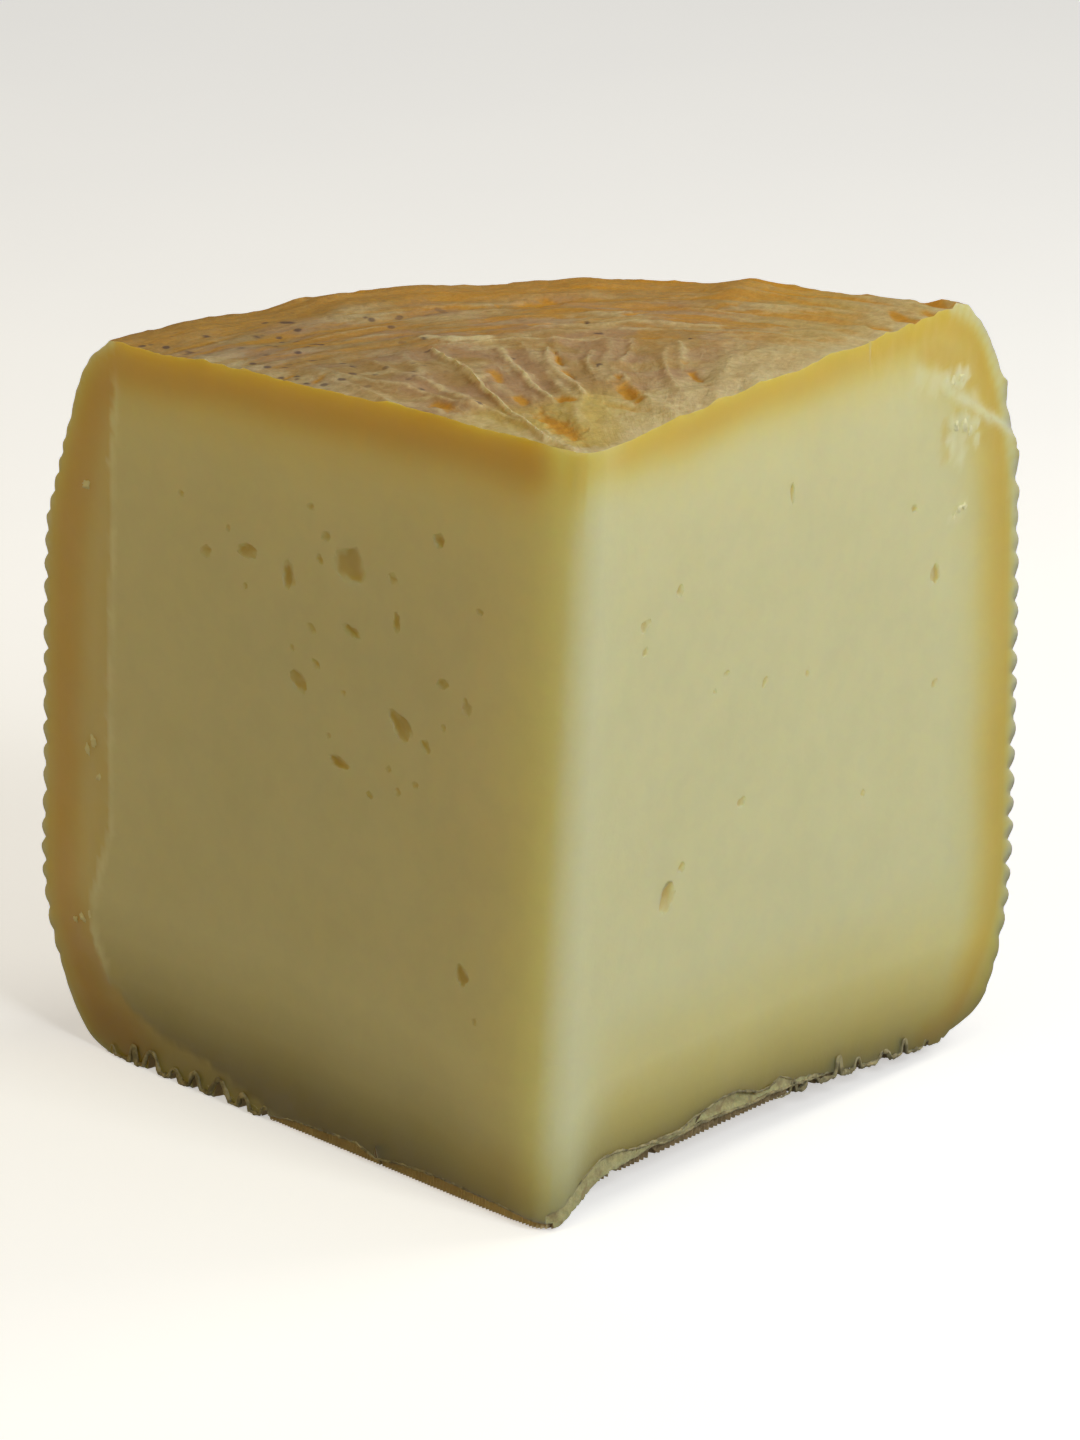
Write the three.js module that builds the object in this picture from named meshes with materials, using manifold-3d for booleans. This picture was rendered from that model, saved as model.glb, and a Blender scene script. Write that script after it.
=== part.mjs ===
// A wedge of pecorino, a little under a quarter of a small wheel, standing on its flat underside.
// Millimetres, +Z up. The cut tip points to -Y and the rind side bulges to +Y.
// The origin is under the middle of the wedge's box, on the surface that it stands on.
import * as THREE from "three";
import { mergeVertices } from "three/addons/utils/BufferGeometryUtils.js";
import Module from "manifold-3d";

const wasm = await Module();
wasm.setup();

// The wheel that the wedge was cut from
const WHEEL_RADIUS = 93.7;
const WHEEL_STEPS = 90;
const UNDERSIDE_RADIUS = 79;
const UNDERSIDE_RINGS = 13;
const TOP_EDGE_RADIUS = 79;
const TOP_EDGE_HEIGHT = 94.3;
const TOP_RINGS = 23;
const TOP_MIDDLE_HEIGHT = 96;
const TOP_TILT = 0.04;
const TILT_START_HEIGHT = 60;

// Ribs that the mould pressed into the side
const RIB_PITCH = 3.15;
const RIB_DEPTH = 1.1;
const STEPS_PER_RIB = 4;
const RIB_FOOT_HEIGHT = 5;
const RIB_HEAD_HEIGHT = 87;
const RIB_FADE = 14;
const SOFT_RIBS_START = 50;
const SOFT_RIBS_END = 70;
const SOFT_RIBS_SHARE = 0.6;

// Wrinkles of the upper rind: streaks near the rim, dimples nearer the tip and two long raised creases
const RELIEF_FADE = 4;
const WRINKLE_DEPTH = 0.35;
const STREAK_PITCH = 11;
const STREAK_SWAY = 1.6;
const STREAKS_START = 35;
const STREAKS_FULL = 80;
const DIMPLE_PITCH = 21;
const CREASE_HEIGHT = 0.65;
const CREASE_WIDTH = 3.6;
const CREASES = [
  { from: [-14, 46], to: [1.5, 1.3] },
  { from: [-5.9, 45.4], to: [-0.3, 21.6] },
];

// The two cuts, which meet at the tip and lean a little
const WHEEL_MIDDLE_X = -2.7;
const WHEEL_LEAN_X = 3.0;
const HALF_ANGLE = THREE.MathUtils.degToRad(40.3);
const TIP_ROUNDING = 3;
const TIP_SIDES = 6;
const TIP_LEAN_X = 5.0;
const TIP_LEAN_Y = -1.8;
const LEAN_HEIGHT = 96;
const LEAN_REACH = 95;
const KNIFE_REACH = 130;
const KNIFE_LOW = -10;
const KNIFE_HIGH = 115;
const KNIFE_STEPS = 10;
const RIND_STRIP_START = 81;
const RIND_STRIP_TURN = THREE.MathUtils.degToRad(7);

// The underside is drawn up along the right cut
const ARCH_HEIGHT = 4.3;
const ARCH_START = 0;
const ARCH_FULL_START = 10;
const ARCH_FULL_END = 40;
const ARCH_END = 105;
const ARCH_REACH = 24;

// Where the rind broke away at the right cut's upper corner, on the cut as distance from tip and height
const CHIP_LINE_START = [63, 93.2];
const CHIP_LINE_END = [92, 76.4];
const CHIP_TILT = THREE.MathUtils.degToRad(3);
const CHIP_BLOCK = 60;

// Eyes, as distance from tip, height, width, height of the eye and its slant in degrees
const LEFT_EYES = [
  [39.8, 74.1, 4.6, 3.9, 20],
  [50.4, 70.5, 2.1, 3.1, 5],
  [58.2, 71.6, 3.2, 1.6, 0],
  [38.7, 66.1, 3.2, 1.5, -10],
  [47.9, 57.5, 3.6, 2.2, -25],
  [29.6, 56.1, 5.0, 2.1, -35],
  [40.3, 49.2, 3.4, 1.6, 5],
  [17.2, 28.3, 2.1, 2.6, 0],
];
const RIGHT_EYES = [
  [20.2, 36.9, 3.3, 2.3, 50],
  [72.9, 63.5, 1.8, 2.4, 10],
  [12.6, 72.5, 1.9, 1.4, 30],
];
const EYE_DEPTH = 0.75;
const EYE_SIDES = 9;
const EYE_RINGS = 6;

// Folds of the lower rind that open as notches along the cuts' lower edges
const LEFT_NOTCHES = [77, 73.3, 69, 64.8, 60.3, 51.9, 30.5];
const RIGHT_NOTCHES = [12.9, 20.4, 47.6, 51.2, 56.6, 66.2, 74.5];
const NOTCH_WIDTH = 1.5;
const NOTCH_HEIGHT = 2.6;
const NOTCH_DEPTH = 2.2;
const NOTCH_SLANT = 14;
const TEAR_PLACE = 33.5;
const TEAR_WIDTH = 9;
const TEAR_HEIGHT = 3.2;
const TEAR_LIFT = 2.4;
const TEAR_SLANT = 12;

// From the tip to the middle of the box
const TIP_X = 0.2;
const TIP_Y = -46.7;

const RIND_AND_PASTE = new THREE.MeshStandardMaterial({
  color: 0xd9cc98,
  roughness: 0.55,
  metalness: 0,
});

const { smoothstep } = THREE.MathUtils;

// A closed three.js geometry as a solid
function solidOf(geometry) {
  const bare = geometry.clone();
  bare.deleteAttribute("normal");
  bare.deleteAttribute("uv");
  const merged = mergeVertices(bare, 1e-4);
  const corners = [];
  const { array } = merged.index;
  for (let i = 0; i < array.length; i += 3) {
    const [a, b, c] = [array[i], array[i + 1], array[i + 2]];
    if (a !== b && b !== c && c !== a) corners.push(a, b, c);
  }
  return new wasm.Manifold(
    new wasm.Mesh({
      numProp: 3,
      vertProperties: merged.attributes.position.array,
      triVerts: new Uint32Array(corners),
    }),
  );
}

// A solid as a geometry, moved so that the origin is under the middle of the box
function geometryOf(solid) {
  const { vertProperties, triVerts } = solid.getMesh();
  const geometry = new THREE.BufferGeometry();
  geometry.setAttribute("position", new THREE.BufferAttribute(vertProperties, 3));
  geometry.setIndex(new THREE.BufferAttribute(triVerts, 1));
  geometry.translate(TIP_X, TIP_Y, 0);
  return geometry;
}

// Moves each vertex of a geometry by a function of its place
function reshape(geometry, move) {
  const place = new THREE.Vector3();
  const { position } = geometry.attributes;
  for (let i = 0; i < position.count; i += 1) {
    move(place.fromBufferAttribute(position, i));
    position.setXYZ(i, place.x, place.y, place.z);
  }
  return geometry;
}

// How strongly the mould's ribs show at a height
function ribStrength(z) {
  const foot = smoothstep(z, RIB_FOOT_HEIGHT, RIB_FOOT_HEIGHT + RIB_FADE);
  const head = 1 - smoothstep(z, RIB_HEAD_HEIGHT - RIB_FADE, RIB_HEAD_HEIGHT);
  const upper = 1 - (1 - SOFT_RIBS_SHARE) * smoothstep(z, SOFT_RIBS_START, SOFT_RIBS_END);
  return foot * head * upper;
}

// Half section of the wheel: along the underside, up the ribbed side and back over the crowned top
function wheelSection() {
  const points = [];
  for (let i = 0; i < UNDERSIDE_RINGS; i += 1) {
    points.push(new THREE.Vector2((UNDERSIDE_RADIUS * i) / UNDERSIDE_RINGS, 0));
  }
  const side = new THREE.SplineCurve(
    [
      [UNDERSIDE_RADIUS, 0],
      [83.5, 1.6],
      [88, 7],
      [92.2, 13.5],
      [WHEEL_RADIUS + 0.2, 21],
      [WHEEL_RADIUS + 0.4, 31],
      [WHEEL_RADIUS, 55],
      [WHEEL_RADIUS - 0.8, 67],
      [91, 77],
      [87.4, 86.5],
      [84, 91.4],
      [TOP_EDGE_RADIUS, TOP_EDGE_HEIGHT],
    ].map(([r, z]) => new THREE.Vector2(r, z)),
  );
  const ribs = Math.round(side.getLength() / RIB_PITCH);
  const steps = ribs * STEPS_PER_RIB;
  for (let i = 0; i <= steps; i += 1) {
    const point = side.getPointAt(i / steps);
    const along = side.getTangentAt(i / steps);
    const notch = 1 - Math.abs(Math.sin((Math.PI * i) / STEPS_PER_RIB));
    const inward = RIB_DEPTH * ribStrength(point.y) * notch;
    points.push(new THREE.Vector2(point.x - inward * along.y, point.y + inward * along.x));
  }
  for (let i = TOP_RINGS - 1; i >= 0; i -= 1) {
    const share = i / TOP_RINGS;
    const drop = (TOP_MIDDLE_HEIGHT - TOP_EDGE_HEIGHT) * share * share;
    points.push(new THREE.Vector2(TOP_EDGE_RADIUS * share, TOP_MIDDLE_HEIGHT - drop));
  }
  return points;
}

// Height of the upper rind's relief at a place
function topRelief(x, y) {
  const radius = Math.hypot(x - WHEEL_MIDDLE_X, y);
  const angle = Math.atan2(x - WHEEL_MIDDLE_X, y);
  const rim = smoothstep(radius, STREAKS_START, STREAKS_FULL);
  const turn = 2 * Math.PI;
  const streaks = Math.sin((turn * radius) / STREAK_PITCH + STREAK_SWAY * Math.sin(3 * angle));
  const across = Math.sin((turn * (x + y / 3)) / DIMPLE_PITCH);
  const dimples = across * Math.sin((turn * (y - x / 3)) / DIMPLE_PITCH);
  const relief = WRINKLE_DEPTH * (rim * streaks + (1 - rim / 2) * dimples);
  const nearest = new THREE.Vector3();
  return CREASES.reduce((sum, { from, to }) => {
    const line = new THREE.Line3(new THREE.Vector3(...from, 0), new THREE.Vector3(...to, 0));
    const here = new THREE.Vector3(x, y, 0);
    const away = line.closestPointToPoint(here, true, nearest).distanceTo(here);
    return sum + CREASE_HEIGHT * Math.exp(-((away / CREASE_WIDTH) ** 2));
  }, relief);
}

// Places on a cut: the distance from the tip, the height, and how far out of the cut's face
function cutFrame(sideSign) {
  const along = new THREE.Vector3(sideSign * Math.sin(HALF_ANGLE), Math.cos(HALF_ANGLE), 0);
  const up = new THREE.Vector3(0, 0, 1);
  const out = new THREE.Vector3(sideSign * Math.cos(HALF_ANGLE), -Math.sin(HALF_ANGLE), 0);
  return { along, up, out };
}

// How far the leaning tip moves a place on the cuts
function leanAt(distance, z) {
  const share = Math.max(0, 1 - distance / LEAN_REACH) * (z / LEAN_HEIGHT);
  return new THREE.Vector2(TIP_LEAN_X * share, TIP_LEAN_Y * share);
}

// How far the underside is drawn up at a place
function archAt(x, y) {
  const { along, out } = cutFrame(1);
  const distance = x * along.x + y * along.y;
  const inside = -(x * out.x + y * out.y);
  const rise = smoothstep(distance, ARCH_START, ARCH_FULL_START);
  const fall = 1 - smoothstep(distance, ARCH_FULL_END, ARCH_END);
  const reach = 1 - smoothstep(inside, 0, ARCH_REACH);
  return ARCH_HEIGHT * rise * fall * reach;
}

function makeWheel() {
  const lathe = new THREE.LatheGeometry(wheelSection(), WHEEL_STEPS);
  lathe.rotateX(Math.PI / 2);
  lathe.translate(WHEEL_MIDDLE_X, 0, 0);
  return reshape(lathe, (place) => {
    const upper = smoothstep(place.z, TILT_START_HEIGHT, TOP_EDGE_HEIGHT);
    const topmost = smoothstep(place.z, TOP_EDGE_HEIGHT - RELIEF_FADE, TOP_EDGE_HEIGHT);
    const lower = 1 - smoothstep(place.z, 0, 2 * ARCH_HEIGHT);
    place.z += upper * TOP_TILT * place.x + topmost * topRelief(place.x, place.y);
    place.z += lower * archAt(place.x, place.y);
    place.x += WHEEL_LEAN_X * (place.z / TOP_MIDDLE_HEIGHT - 1 / 2);
  });
}

// What the two cuts leave: a prism over the plan of the wedge, with its tip leaning.
// The left cut turns a little where it meets the harder cheese near the rind.
function makeCuts() {
  const { along: left, out: leftOut } = cutFrame(-1);
  const { along: right, out: rightOut } = cutFrame(1);
  const roundingMiddle = TIP_ROUNDING / Math.sin(HALF_ANGLE);
  const stripAngle = HALF_ANGLE - RIND_STRIP_TURN;
  const stripReach = KNIFE_REACH - RIND_STRIP_START;
  const plan = new THREE.Shape();
  plan.absarc(
    0,
    roundingMiddle,
    TIP_ROUNDING,
    Math.atan2(leftOut.y, leftOut.x),
    Math.atan2(rightOut.y, rightOut.x),
    false,
  );
  plan.lineTo(KNIFE_REACH * right.x, KNIFE_REACH * right.y);
  plan.lineTo(
    RIND_STRIP_START * left.x - stripReach * Math.sin(stripAngle),
    RIND_STRIP_START * left.y + stripReach * Math.cos(stripAngle),
  );
  plan.lineTo(RIND_STRIP_START * left.x, RIND_STRIP_START * left.y);
  const prism = new THREE.ExtrudeGeometry(plan, {
    depth: KNIFE_HIGH - KNIFE_LOW,
    steps: KNIFE_STEPS,
    bevelEnabled: false,
    curveSegments: TIP_SIDES,
  });
  prism.translate(0, 0, KNIFE_LOW);
  return reshape(prism, (place) => {
    const lean = leanAt(Math.hypot(place.x, place.y), place.z);
    place.x += lean.x;
    place.y += lean.y;
  });
}

// A rough lens sunk into a cut
function dent(sideSign, [distance, z, width, height, slant], depth) {
  const { along, up, out } = cutFrame(sideSign);
  const lens = new THREE.SphereGeometry(1, EYE_SIDES, EYE_RINGS);
  reshape(lens, (place) => {
    const uneven = 1 + 0.16 * Math.sin(3.1 * place.x + distance) + 0.12 * Math.cos(4.3 * place.y + z);
    place.multiplyScalar(uneven);
  });
  lens.scale(width / 2, height / 2, depth);
  lens.rotateZ(THREE.MathUtils.degToRad(slant) * sideSign);
  const lean = leanAt(distance, z);
  lens.applyMatrix4(new THREE.Matrix4().makeBasis(along.clone().multiplyScalar(sideSign), up, out));
  lens.translate(distance * along.x + lean.x, distance * along.y + lean.y, z);
  return solidOf(lens);
}

// Height of a cut's lower edge at a distance from the tip
function lowerEdgeAt(sideSign, distance) {
  const { along } = cutFrame(sideSign);
  return sideSign > 0 ? archAt(distance * along.x, distance * along.y) : 0;
}

// The block that takes the broken corner off the right cut
function makeChip() {
  const { along, up, out } = cutFrame(1);
  const [startU, startZ] = CHIP_LINE_START;
  const [endU, endZ] = CHIP_LINE_END;
  const slope = Math.atan2(endZ - startZ, endU - startU);
  const block = new THREE.BoxGeometry(2 * CHIP_BLOCK, CHIP_BLOCK, CHIP_BLOCK);
  block.translate(0, CHIP_BLOCK / 2, CHIP_BLOCK / 2);
  block.rotateX(-CHIP_TILT);
  block.rotateZ(slope);
  block.translate((startU + endU) / 2, (startZ + endZ) / 2, 0);
  block.applyMatrix4(new THREE.Matrix4().makeBasis(along, up, out));
  return solidOf(block);
}

function makeWedge() {
  let wedge = solidOf(makeWheel()).intersect(solidOf(makeCuts()));
  const cutAway = [makeChip()];
  LEFT_EYES.forEach((eye) => cutAway.push(dent(-1, eye, EYE_DEPTH)));
  RIGHT_EYES.forEach((eye) => cutAway.push(dent(1, eye, EYE_DEPTH)));
  [
    [-1, LEFT_NOTCHES],
    [1, RIGHT_NOTCHES],
  ].forEach(([sideSign, notches]) =>
    notches.forEach((distance, i) => {
      const z = lowerEdgeAt(sideSign, distance) + 0.25 * NOTCH_HEIGHT;
      const size = 1 + 0.3 * Math.sin(2.4 * i);
      const slant = NOTCH_SLANT * Math.sin(1.7 * i);
      const notch = [distance, z, NOTCH_WIDTH * size, 2 * NOTCH_HEIGHT * size, slant];
      cutAway.push(dent(sideSign, notch, NOTCH_DEPTH));
    }),
  );
  const tearHeight = lowerEdgeAt(1, TEAR_PLACE) + TEAR_LIFT;
  cutAway.push(dent(1, [TEAR_PLACE, tearHeight, TEAR_WIDTH, TEAR_HEIGHT, TEAR_SLANT], NOTCH_DEPTH));
  cutAway.forEach((solid) => {
    wedge = wedge.subtract(solid);
  });
  return wedge;
}

const pecorino = new THREE.Group();
const wedge = new THREE.Mesh(geometryOf(makeWedge()), RIND_AND_PASTE);
wedge.name = "pecorino_wedge";
pecorino.add(wedge);

export default pecorino;
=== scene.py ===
import math

import bmesh
import bpy
from mathutils import Matrix, Vector, geometry, kdtree, noise


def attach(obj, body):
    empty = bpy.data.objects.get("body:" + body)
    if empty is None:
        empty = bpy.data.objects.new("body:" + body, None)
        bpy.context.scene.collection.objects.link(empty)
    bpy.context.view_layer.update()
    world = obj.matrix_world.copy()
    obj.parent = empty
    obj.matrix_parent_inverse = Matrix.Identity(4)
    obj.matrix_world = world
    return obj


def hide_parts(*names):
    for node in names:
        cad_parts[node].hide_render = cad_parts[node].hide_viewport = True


bl_info = {
    "name": "Pecorino wedge",
    "version": (1, 0, 0),
    "blender": (4, 5, 0),
    "location": "View3D > Sidebar > Pecorino",
    "description": "Builds a cut wedge of pecorino and a plain studio around it",
    "category": "Add Mesh",
}

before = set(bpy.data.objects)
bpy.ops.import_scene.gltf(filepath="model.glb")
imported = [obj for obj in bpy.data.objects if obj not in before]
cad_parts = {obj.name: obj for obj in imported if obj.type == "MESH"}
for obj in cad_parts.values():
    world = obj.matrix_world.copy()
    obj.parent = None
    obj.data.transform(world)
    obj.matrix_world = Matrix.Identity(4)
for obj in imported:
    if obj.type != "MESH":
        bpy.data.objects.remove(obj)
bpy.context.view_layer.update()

# The wedge is modelled in millimetres from its tip, and each finished piece is moved to the frame in metres
MM = 0.001
TIP = Vector((0.2, -46.7, 0.0))

# The two cuts, by the way that they run along X
LEFT, RIGHT = -1, 1

# The wheel that the wedge was cut from
WHEEL_MIDDLE_X = -2.7
WHEEL_LEAN_X = 3.0
TOP_MIDDLE_HEIGHT = 96.0
TOP_EDGE_HEIGHT = 94.3
TOP_EDGE_RADIUS = 79.0
TOP_TILT = 0.04
TILT_START_HEIGHT = 60.0
RELIEF_FADE = 4.0
SIDE_CORNERS = [
    (79, 0), (83.5, 1.6), (88, 7), (92.2, 13.5), (93.9, 21), (94.1, 31),
    (93.7, 55), (92.9, 67), (91, 77), (87.4, 86.5), (84, 91.4), (79, 94.3),
]
CORNER_STEPS = 40
STEPS_PER_RIB = 6
# Lumps of the side beside the right cut: height, half height, how far they stand out
SIDE_LUMPS = [(93.5, 1.6, 1.1), (82.0, 1.1, 1.3), (74.2, 1.3, 1.5), (68.8, 1.0, 0.6)]
LUMPS_FROM = math.radians(37)
LUMPS_FADE = 0.05
# How far the side stands out of its profile near the left and the right cut, by height
SIDE_SWELL = {
    LEFT: [(67, 0), (71, -0.8), (78, -1.5), (84, -1.4), (90, -1.0), (94.3, 0)],
    RIGHT: [
        (0, 0), (1, -0.7), (1.6, -0.4), (3, 0.5), (4.3, 1.4), (7, 2.3), (10.2, 1.9), (13, 1.2), (22, 0.6),
        (50, 0.5), (72, 0.8), (86, 0.8), (94.3, 0),
    ],
}
SWELL_ANGLES = (math.radians(12), math.radians(34))
# Bumps along the back of the upper rim: place and half width in degrees round the wheel, height
RIM_BUMPS = [(-18.0, 3.4, 0.75), (-11.0, 4.5, 0.65), (6.2, 3.0, 0.65), (20.9, 3.2, 1.0)]
UNDER_RING = 3.0
TOP_RING = 0.55
FINE_HALF_TURN = math.radians(50)
FINE_STEPS = 160
COARSE_STEPS = 26
DOUBLES_WITHIN = 0.001
# Edges sharper than these stay crisp
CRISP_ON_WEDGE = math.radians(38)
CRISP_ON_TRIM = math.radians(60)

# The cuts
LEAN_HEIGHT = 96.0
LEAN_REACH = 95.0
TIP_LEAN = Vector((5.0, -1.8))
TIP_ARC_STEPS = 12
CUT_GRID = 1.0
CUT_END = 98.0
KNIFE_REACH = [130.0, 112.0]
KNIFE_ROWS_BELOW = [-10.0, -4.0, -1.2]
KNIFE_ROWS_ABOVE = [104.0, 115.0]
LOW_ROW = 0.4
LOW_ROWS_END = 9.0
SLAB_HEIGHT = 12.0
FOOT_BELOW = 1.5
LUMP_FINENESS = 3
SPLIT_ROUNDS = 3

# The underside is drawn up along the right cut
ARCH_HEIGHT = 4.0
ARCH_FULL = (10.5, 40.0)
ARCH_END = 105.0
ARCH_REACH = 24.0

# Strip beside the rind of the left cut, which falls back from the knife's plane: its edge, as distance
# from tip and height, and the reach, heights and faces' size of the block that carves it
STRIP_EDGE = [
    (79.7, 99.0), (79.7, 87.1), (80.4, 77.2), (80.4, 67.3), (81.2, 50.0), (81.3, 29.6), (83.0, 25.0),
    (85.0, 19.5), (84.6, 14.6), (82.0, 10.0), (77.0, 7.2), (70.0, 5.2), (62.0, 4.2), (50.0, 1.5),
    (44.0, -2.0),
]
STRIP_SLOPE = math.tan(math.radians(7))
STRIP_SUNK = 0.1
STRIP_BLOCK = ((40, 100), (-3, 100), 0.8)

# Broken corner of the right cut: the ends of its lower line, the ridge that crosses it, and its block
CHIP_START = Vector((63.0, 93.2))
CHIP_END = Vector((92.0, 76.4))
CHIP_SLOPE = math.tan(math.radians(3))
CHIP_SUNK = 0.12
CHIP_RIDGE = (75.5, 89.5)
CHIP_RIDGE_ABOVE = 0.5
CHIP_RIDGE_WIDTH = 0.65
CHIP_RIDGE_HEIGHT = 0.32
CHIP_BLOCK = ((58, 100), (66, 100), 0.6)
# Amber pockets and whitish patches of the broken corner: distance from tip, height, radius, share
SUNK_POCKETS = [(78.0, 83.2, 1.7, 0.32), (75.2, 81.2, 1.8, 0.32), (75.4, 78.4, 1.6, 0.25)]
AMBER_POCKETS = SUNK_POCKETS + [(86.6, 78.0, 3.8, 0.7), (84.4, 83.6, 2.8, 0.7), (83.4, 76.2, 1.8, 0.4)]
PATCH_RELIEF = 0.3
PALE_PATCHES = [
    (75.4, 87.4, 1.9, 0.8), (78.2, 87.2, 1.7, 0.9), (79.9, 87.4, 1.2, 0.8), (72.6, 88.0, 2.2, 0.5),
    (77.2, 81.8, 1.3, 0.9), (79.4, 81.2, 1.7, 1.0), (81.6, 80.8, 1.5, 0.8), (76.4, 80.2, 1.1, 0.8),
    (77.2, 78.8, 1.1, 0.8), (78.8, 77.2, 1.3, 0.8), (78.6, 79.6, 1.4, 0.5), (82.2, 78.8, 1.0, 0.7),
    (78.9, 70.6, 1.5, 0.7), (77.4, 70.0, 1.1, 0.6), (69.6, 89.2, 1.8, 0.35), (81.8, 83.6, 1.6, 0.4),
]

# Material slots of the wedge, and its attributes, which say how much of each colour a place has
RIND, PASTE, EYE, TORN, RIBBED = range(5)
SHARES = ("ochre", "cream", "straw", "rose", "speck", "mouldy", "back")
# Of these shares, brown is partly painted shade along the foot, pale partly a painted highlight, lit painted
# light on the left cut's ribbed rind, and the eyes' share partly painted shade in their hollows
CUT_SHARES = ("amber", "brown", "outer", "pale", "lit", "tint")

# Eyes of the cuts: distance from tip, height, the eye's own width and height, slant in degrees
EYES = {
    LEFT: [
        (38.3, 74.0, 4.7, 4.2, 190), (48.8, 70.4, 2.3, 3.4, 5), (56.0, 71.6, 3.4, 1.7, 0),
        (63.2, 69.8, 1.9, 1.5, 0), (59.4, 73.6, 0.9, 0.9, 0), (42.3, 76.6, 1.7, 1.1, 20),
        (43.4, 73.5, 1.2, 1.4, 10), (31.1, 74.0, 1.6, 1.3, 0), (23.4, 80.5, 2.2, 1.7, 25),
        (30.2, 68.9, 1.3, 2.5, 0), (37.7, 65.9, 3.0, 1.3, -14), (44.5, 64.6, 1.5, 1.0, -30),
        (47.8, 61.4, 0.9, 0.8, 0), (43.7, 60.3, 1.5, 1.0, -20), (46.6, 57.4, 3.2, 2.1, -30),
        (38.8, 57.9, 0.9, 0.9, 0), (22.3, 63.2, 1.9, 1.3, 20), (16.5, 73.4, 1.1, 0.9, 0),
        (29.0, 56.2, 4.0, 2.6, -40), (24.8, 54.9, 1.8, 1.3, -30), (39.5, 49.1, 3.7, 1.6, -8),
        (30.9, 50.4, 0.9, 0.8, 0), (26.2, 49.6, 1.2, 0.9, 0), (29.2, 48.0, 1.2, 1.0, 0),
        (18.1, 61.2, 1.8, 1.9, 10), (17.0, 28.1, 2.2, 2.8, 0), (14.4, 23.1, 0.8, 0.8, 0),
        (67.6, 76.0, 1.1, 0.9, 0), (45.0, 79.6, 1.2, 1.0, 0), (34.0, 46.4, 1.1, 0.9, 0),
        (41.2, 52.0, 0.9, 0.8, 0), (21.8, 57.8, 0.9, 0.9, 0), (56.2, 67.1, 0.9, 0.8, 0),
    ],
    RIGHT: [
        (12.9, 72.5, 2.0, 1.4, 30), (19.7, 75.1, 1.2, 1.6, -20), (42.0, 81.7, 0.8, 2.6, 3),
        (68.9, 73.1, 1.4, 0.9, 0), (73.9, 63.5, 1.7, 2.7, 10), (47.0, 57.9, 0.9, 0.9, 0),
        (38.2, 59.1, 1.5, 0.9, 30), (74.5, 49.5, 1.4, 0.9, 20), (27.9, 60.5, 0.8, 0.8, 0),
        (13.2, 69.2, 1.3, 1.1, 20), (34.3, 45.0, 1.5, 1.3, 30), (22.8, 39.9, 1.3, 1.1, 30),
        (20.3, 36.8, 3.7, 2.4, 50), (59.7, 39.3, 0.9, 0.9, 0), (30.2, 62.2, 1.3, 0.6, 0),
    ],
}
EYE_SHARE_DEEP = 0.1
EYE_LEAST_DEEP = 0.13
EYE_DEEPEST = 0.5
EYE_RAISED = 0.5
EYE_REACH = 0.57
EYE_RAGGED = 0.34
LARGE_EYE = 1.9
# Depth below the cut at which the eye walls are fully darkened: partly their own tint, partly painted shade
# in the hollow
EYE_FULL_TINT_AND_SHADE_DEPTH = 0.42

# Raised ridges of the upper rind: half width, height, share of cream and the places that they pass
RIDGES = [
    (0.42, 0.6, 0.9, [(-13.9, 45.6), (-11.2, 38.7), (-6.8, 21.7), (-1.6, 5.3), (1.5, 1.3)]),
    (0.75, 0.35, 0.5, [(-16.9, 34.6), (-14.1, 31.1), (-11.1, 24.3), (-9.6, 19.3)]),
    (0.6, 0.4, 0.75, [(-5.9, 45.4), (-4.8, 38.5), (-2.0, 26.6), (-0.3, 21.6)]),
    (0.5, 0.35, 0.7, [(-0.4, 44.4), (-0.4, 35.8), (2.6, 25.7), (3.4, 21.5)]),
    (0.45, 0.3, 0.6, [(5.0, 42.6), (4.1, 37.4), (4.5, 32.3)]),
    (0.45, 0.25, 0.5, [(9.8, 46.8), (9.5, 41.6), (7.9, 35.6)]),
    (0.5, 0.3, 0.6, [(15.3, 44.9), (15.6, 41.4), (15.1, 33.8)]),
    (1.3, 0.35, 0.9, [(-14.1, 52.6), (-12.0, 50.8), (-7.2, 50.7)]),
    (0.6, 0.3, 0.6, [(-13.9, 47.8), (-3.2, 49.3), (1.6, 48.7), (9.7, 47.2)]),
    (0.7, 0.3, 0.55, [(-1.4, 54.9), (9.2, 55.5), (13.5, 54.6), (20.6, 52.6)]),
]
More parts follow.
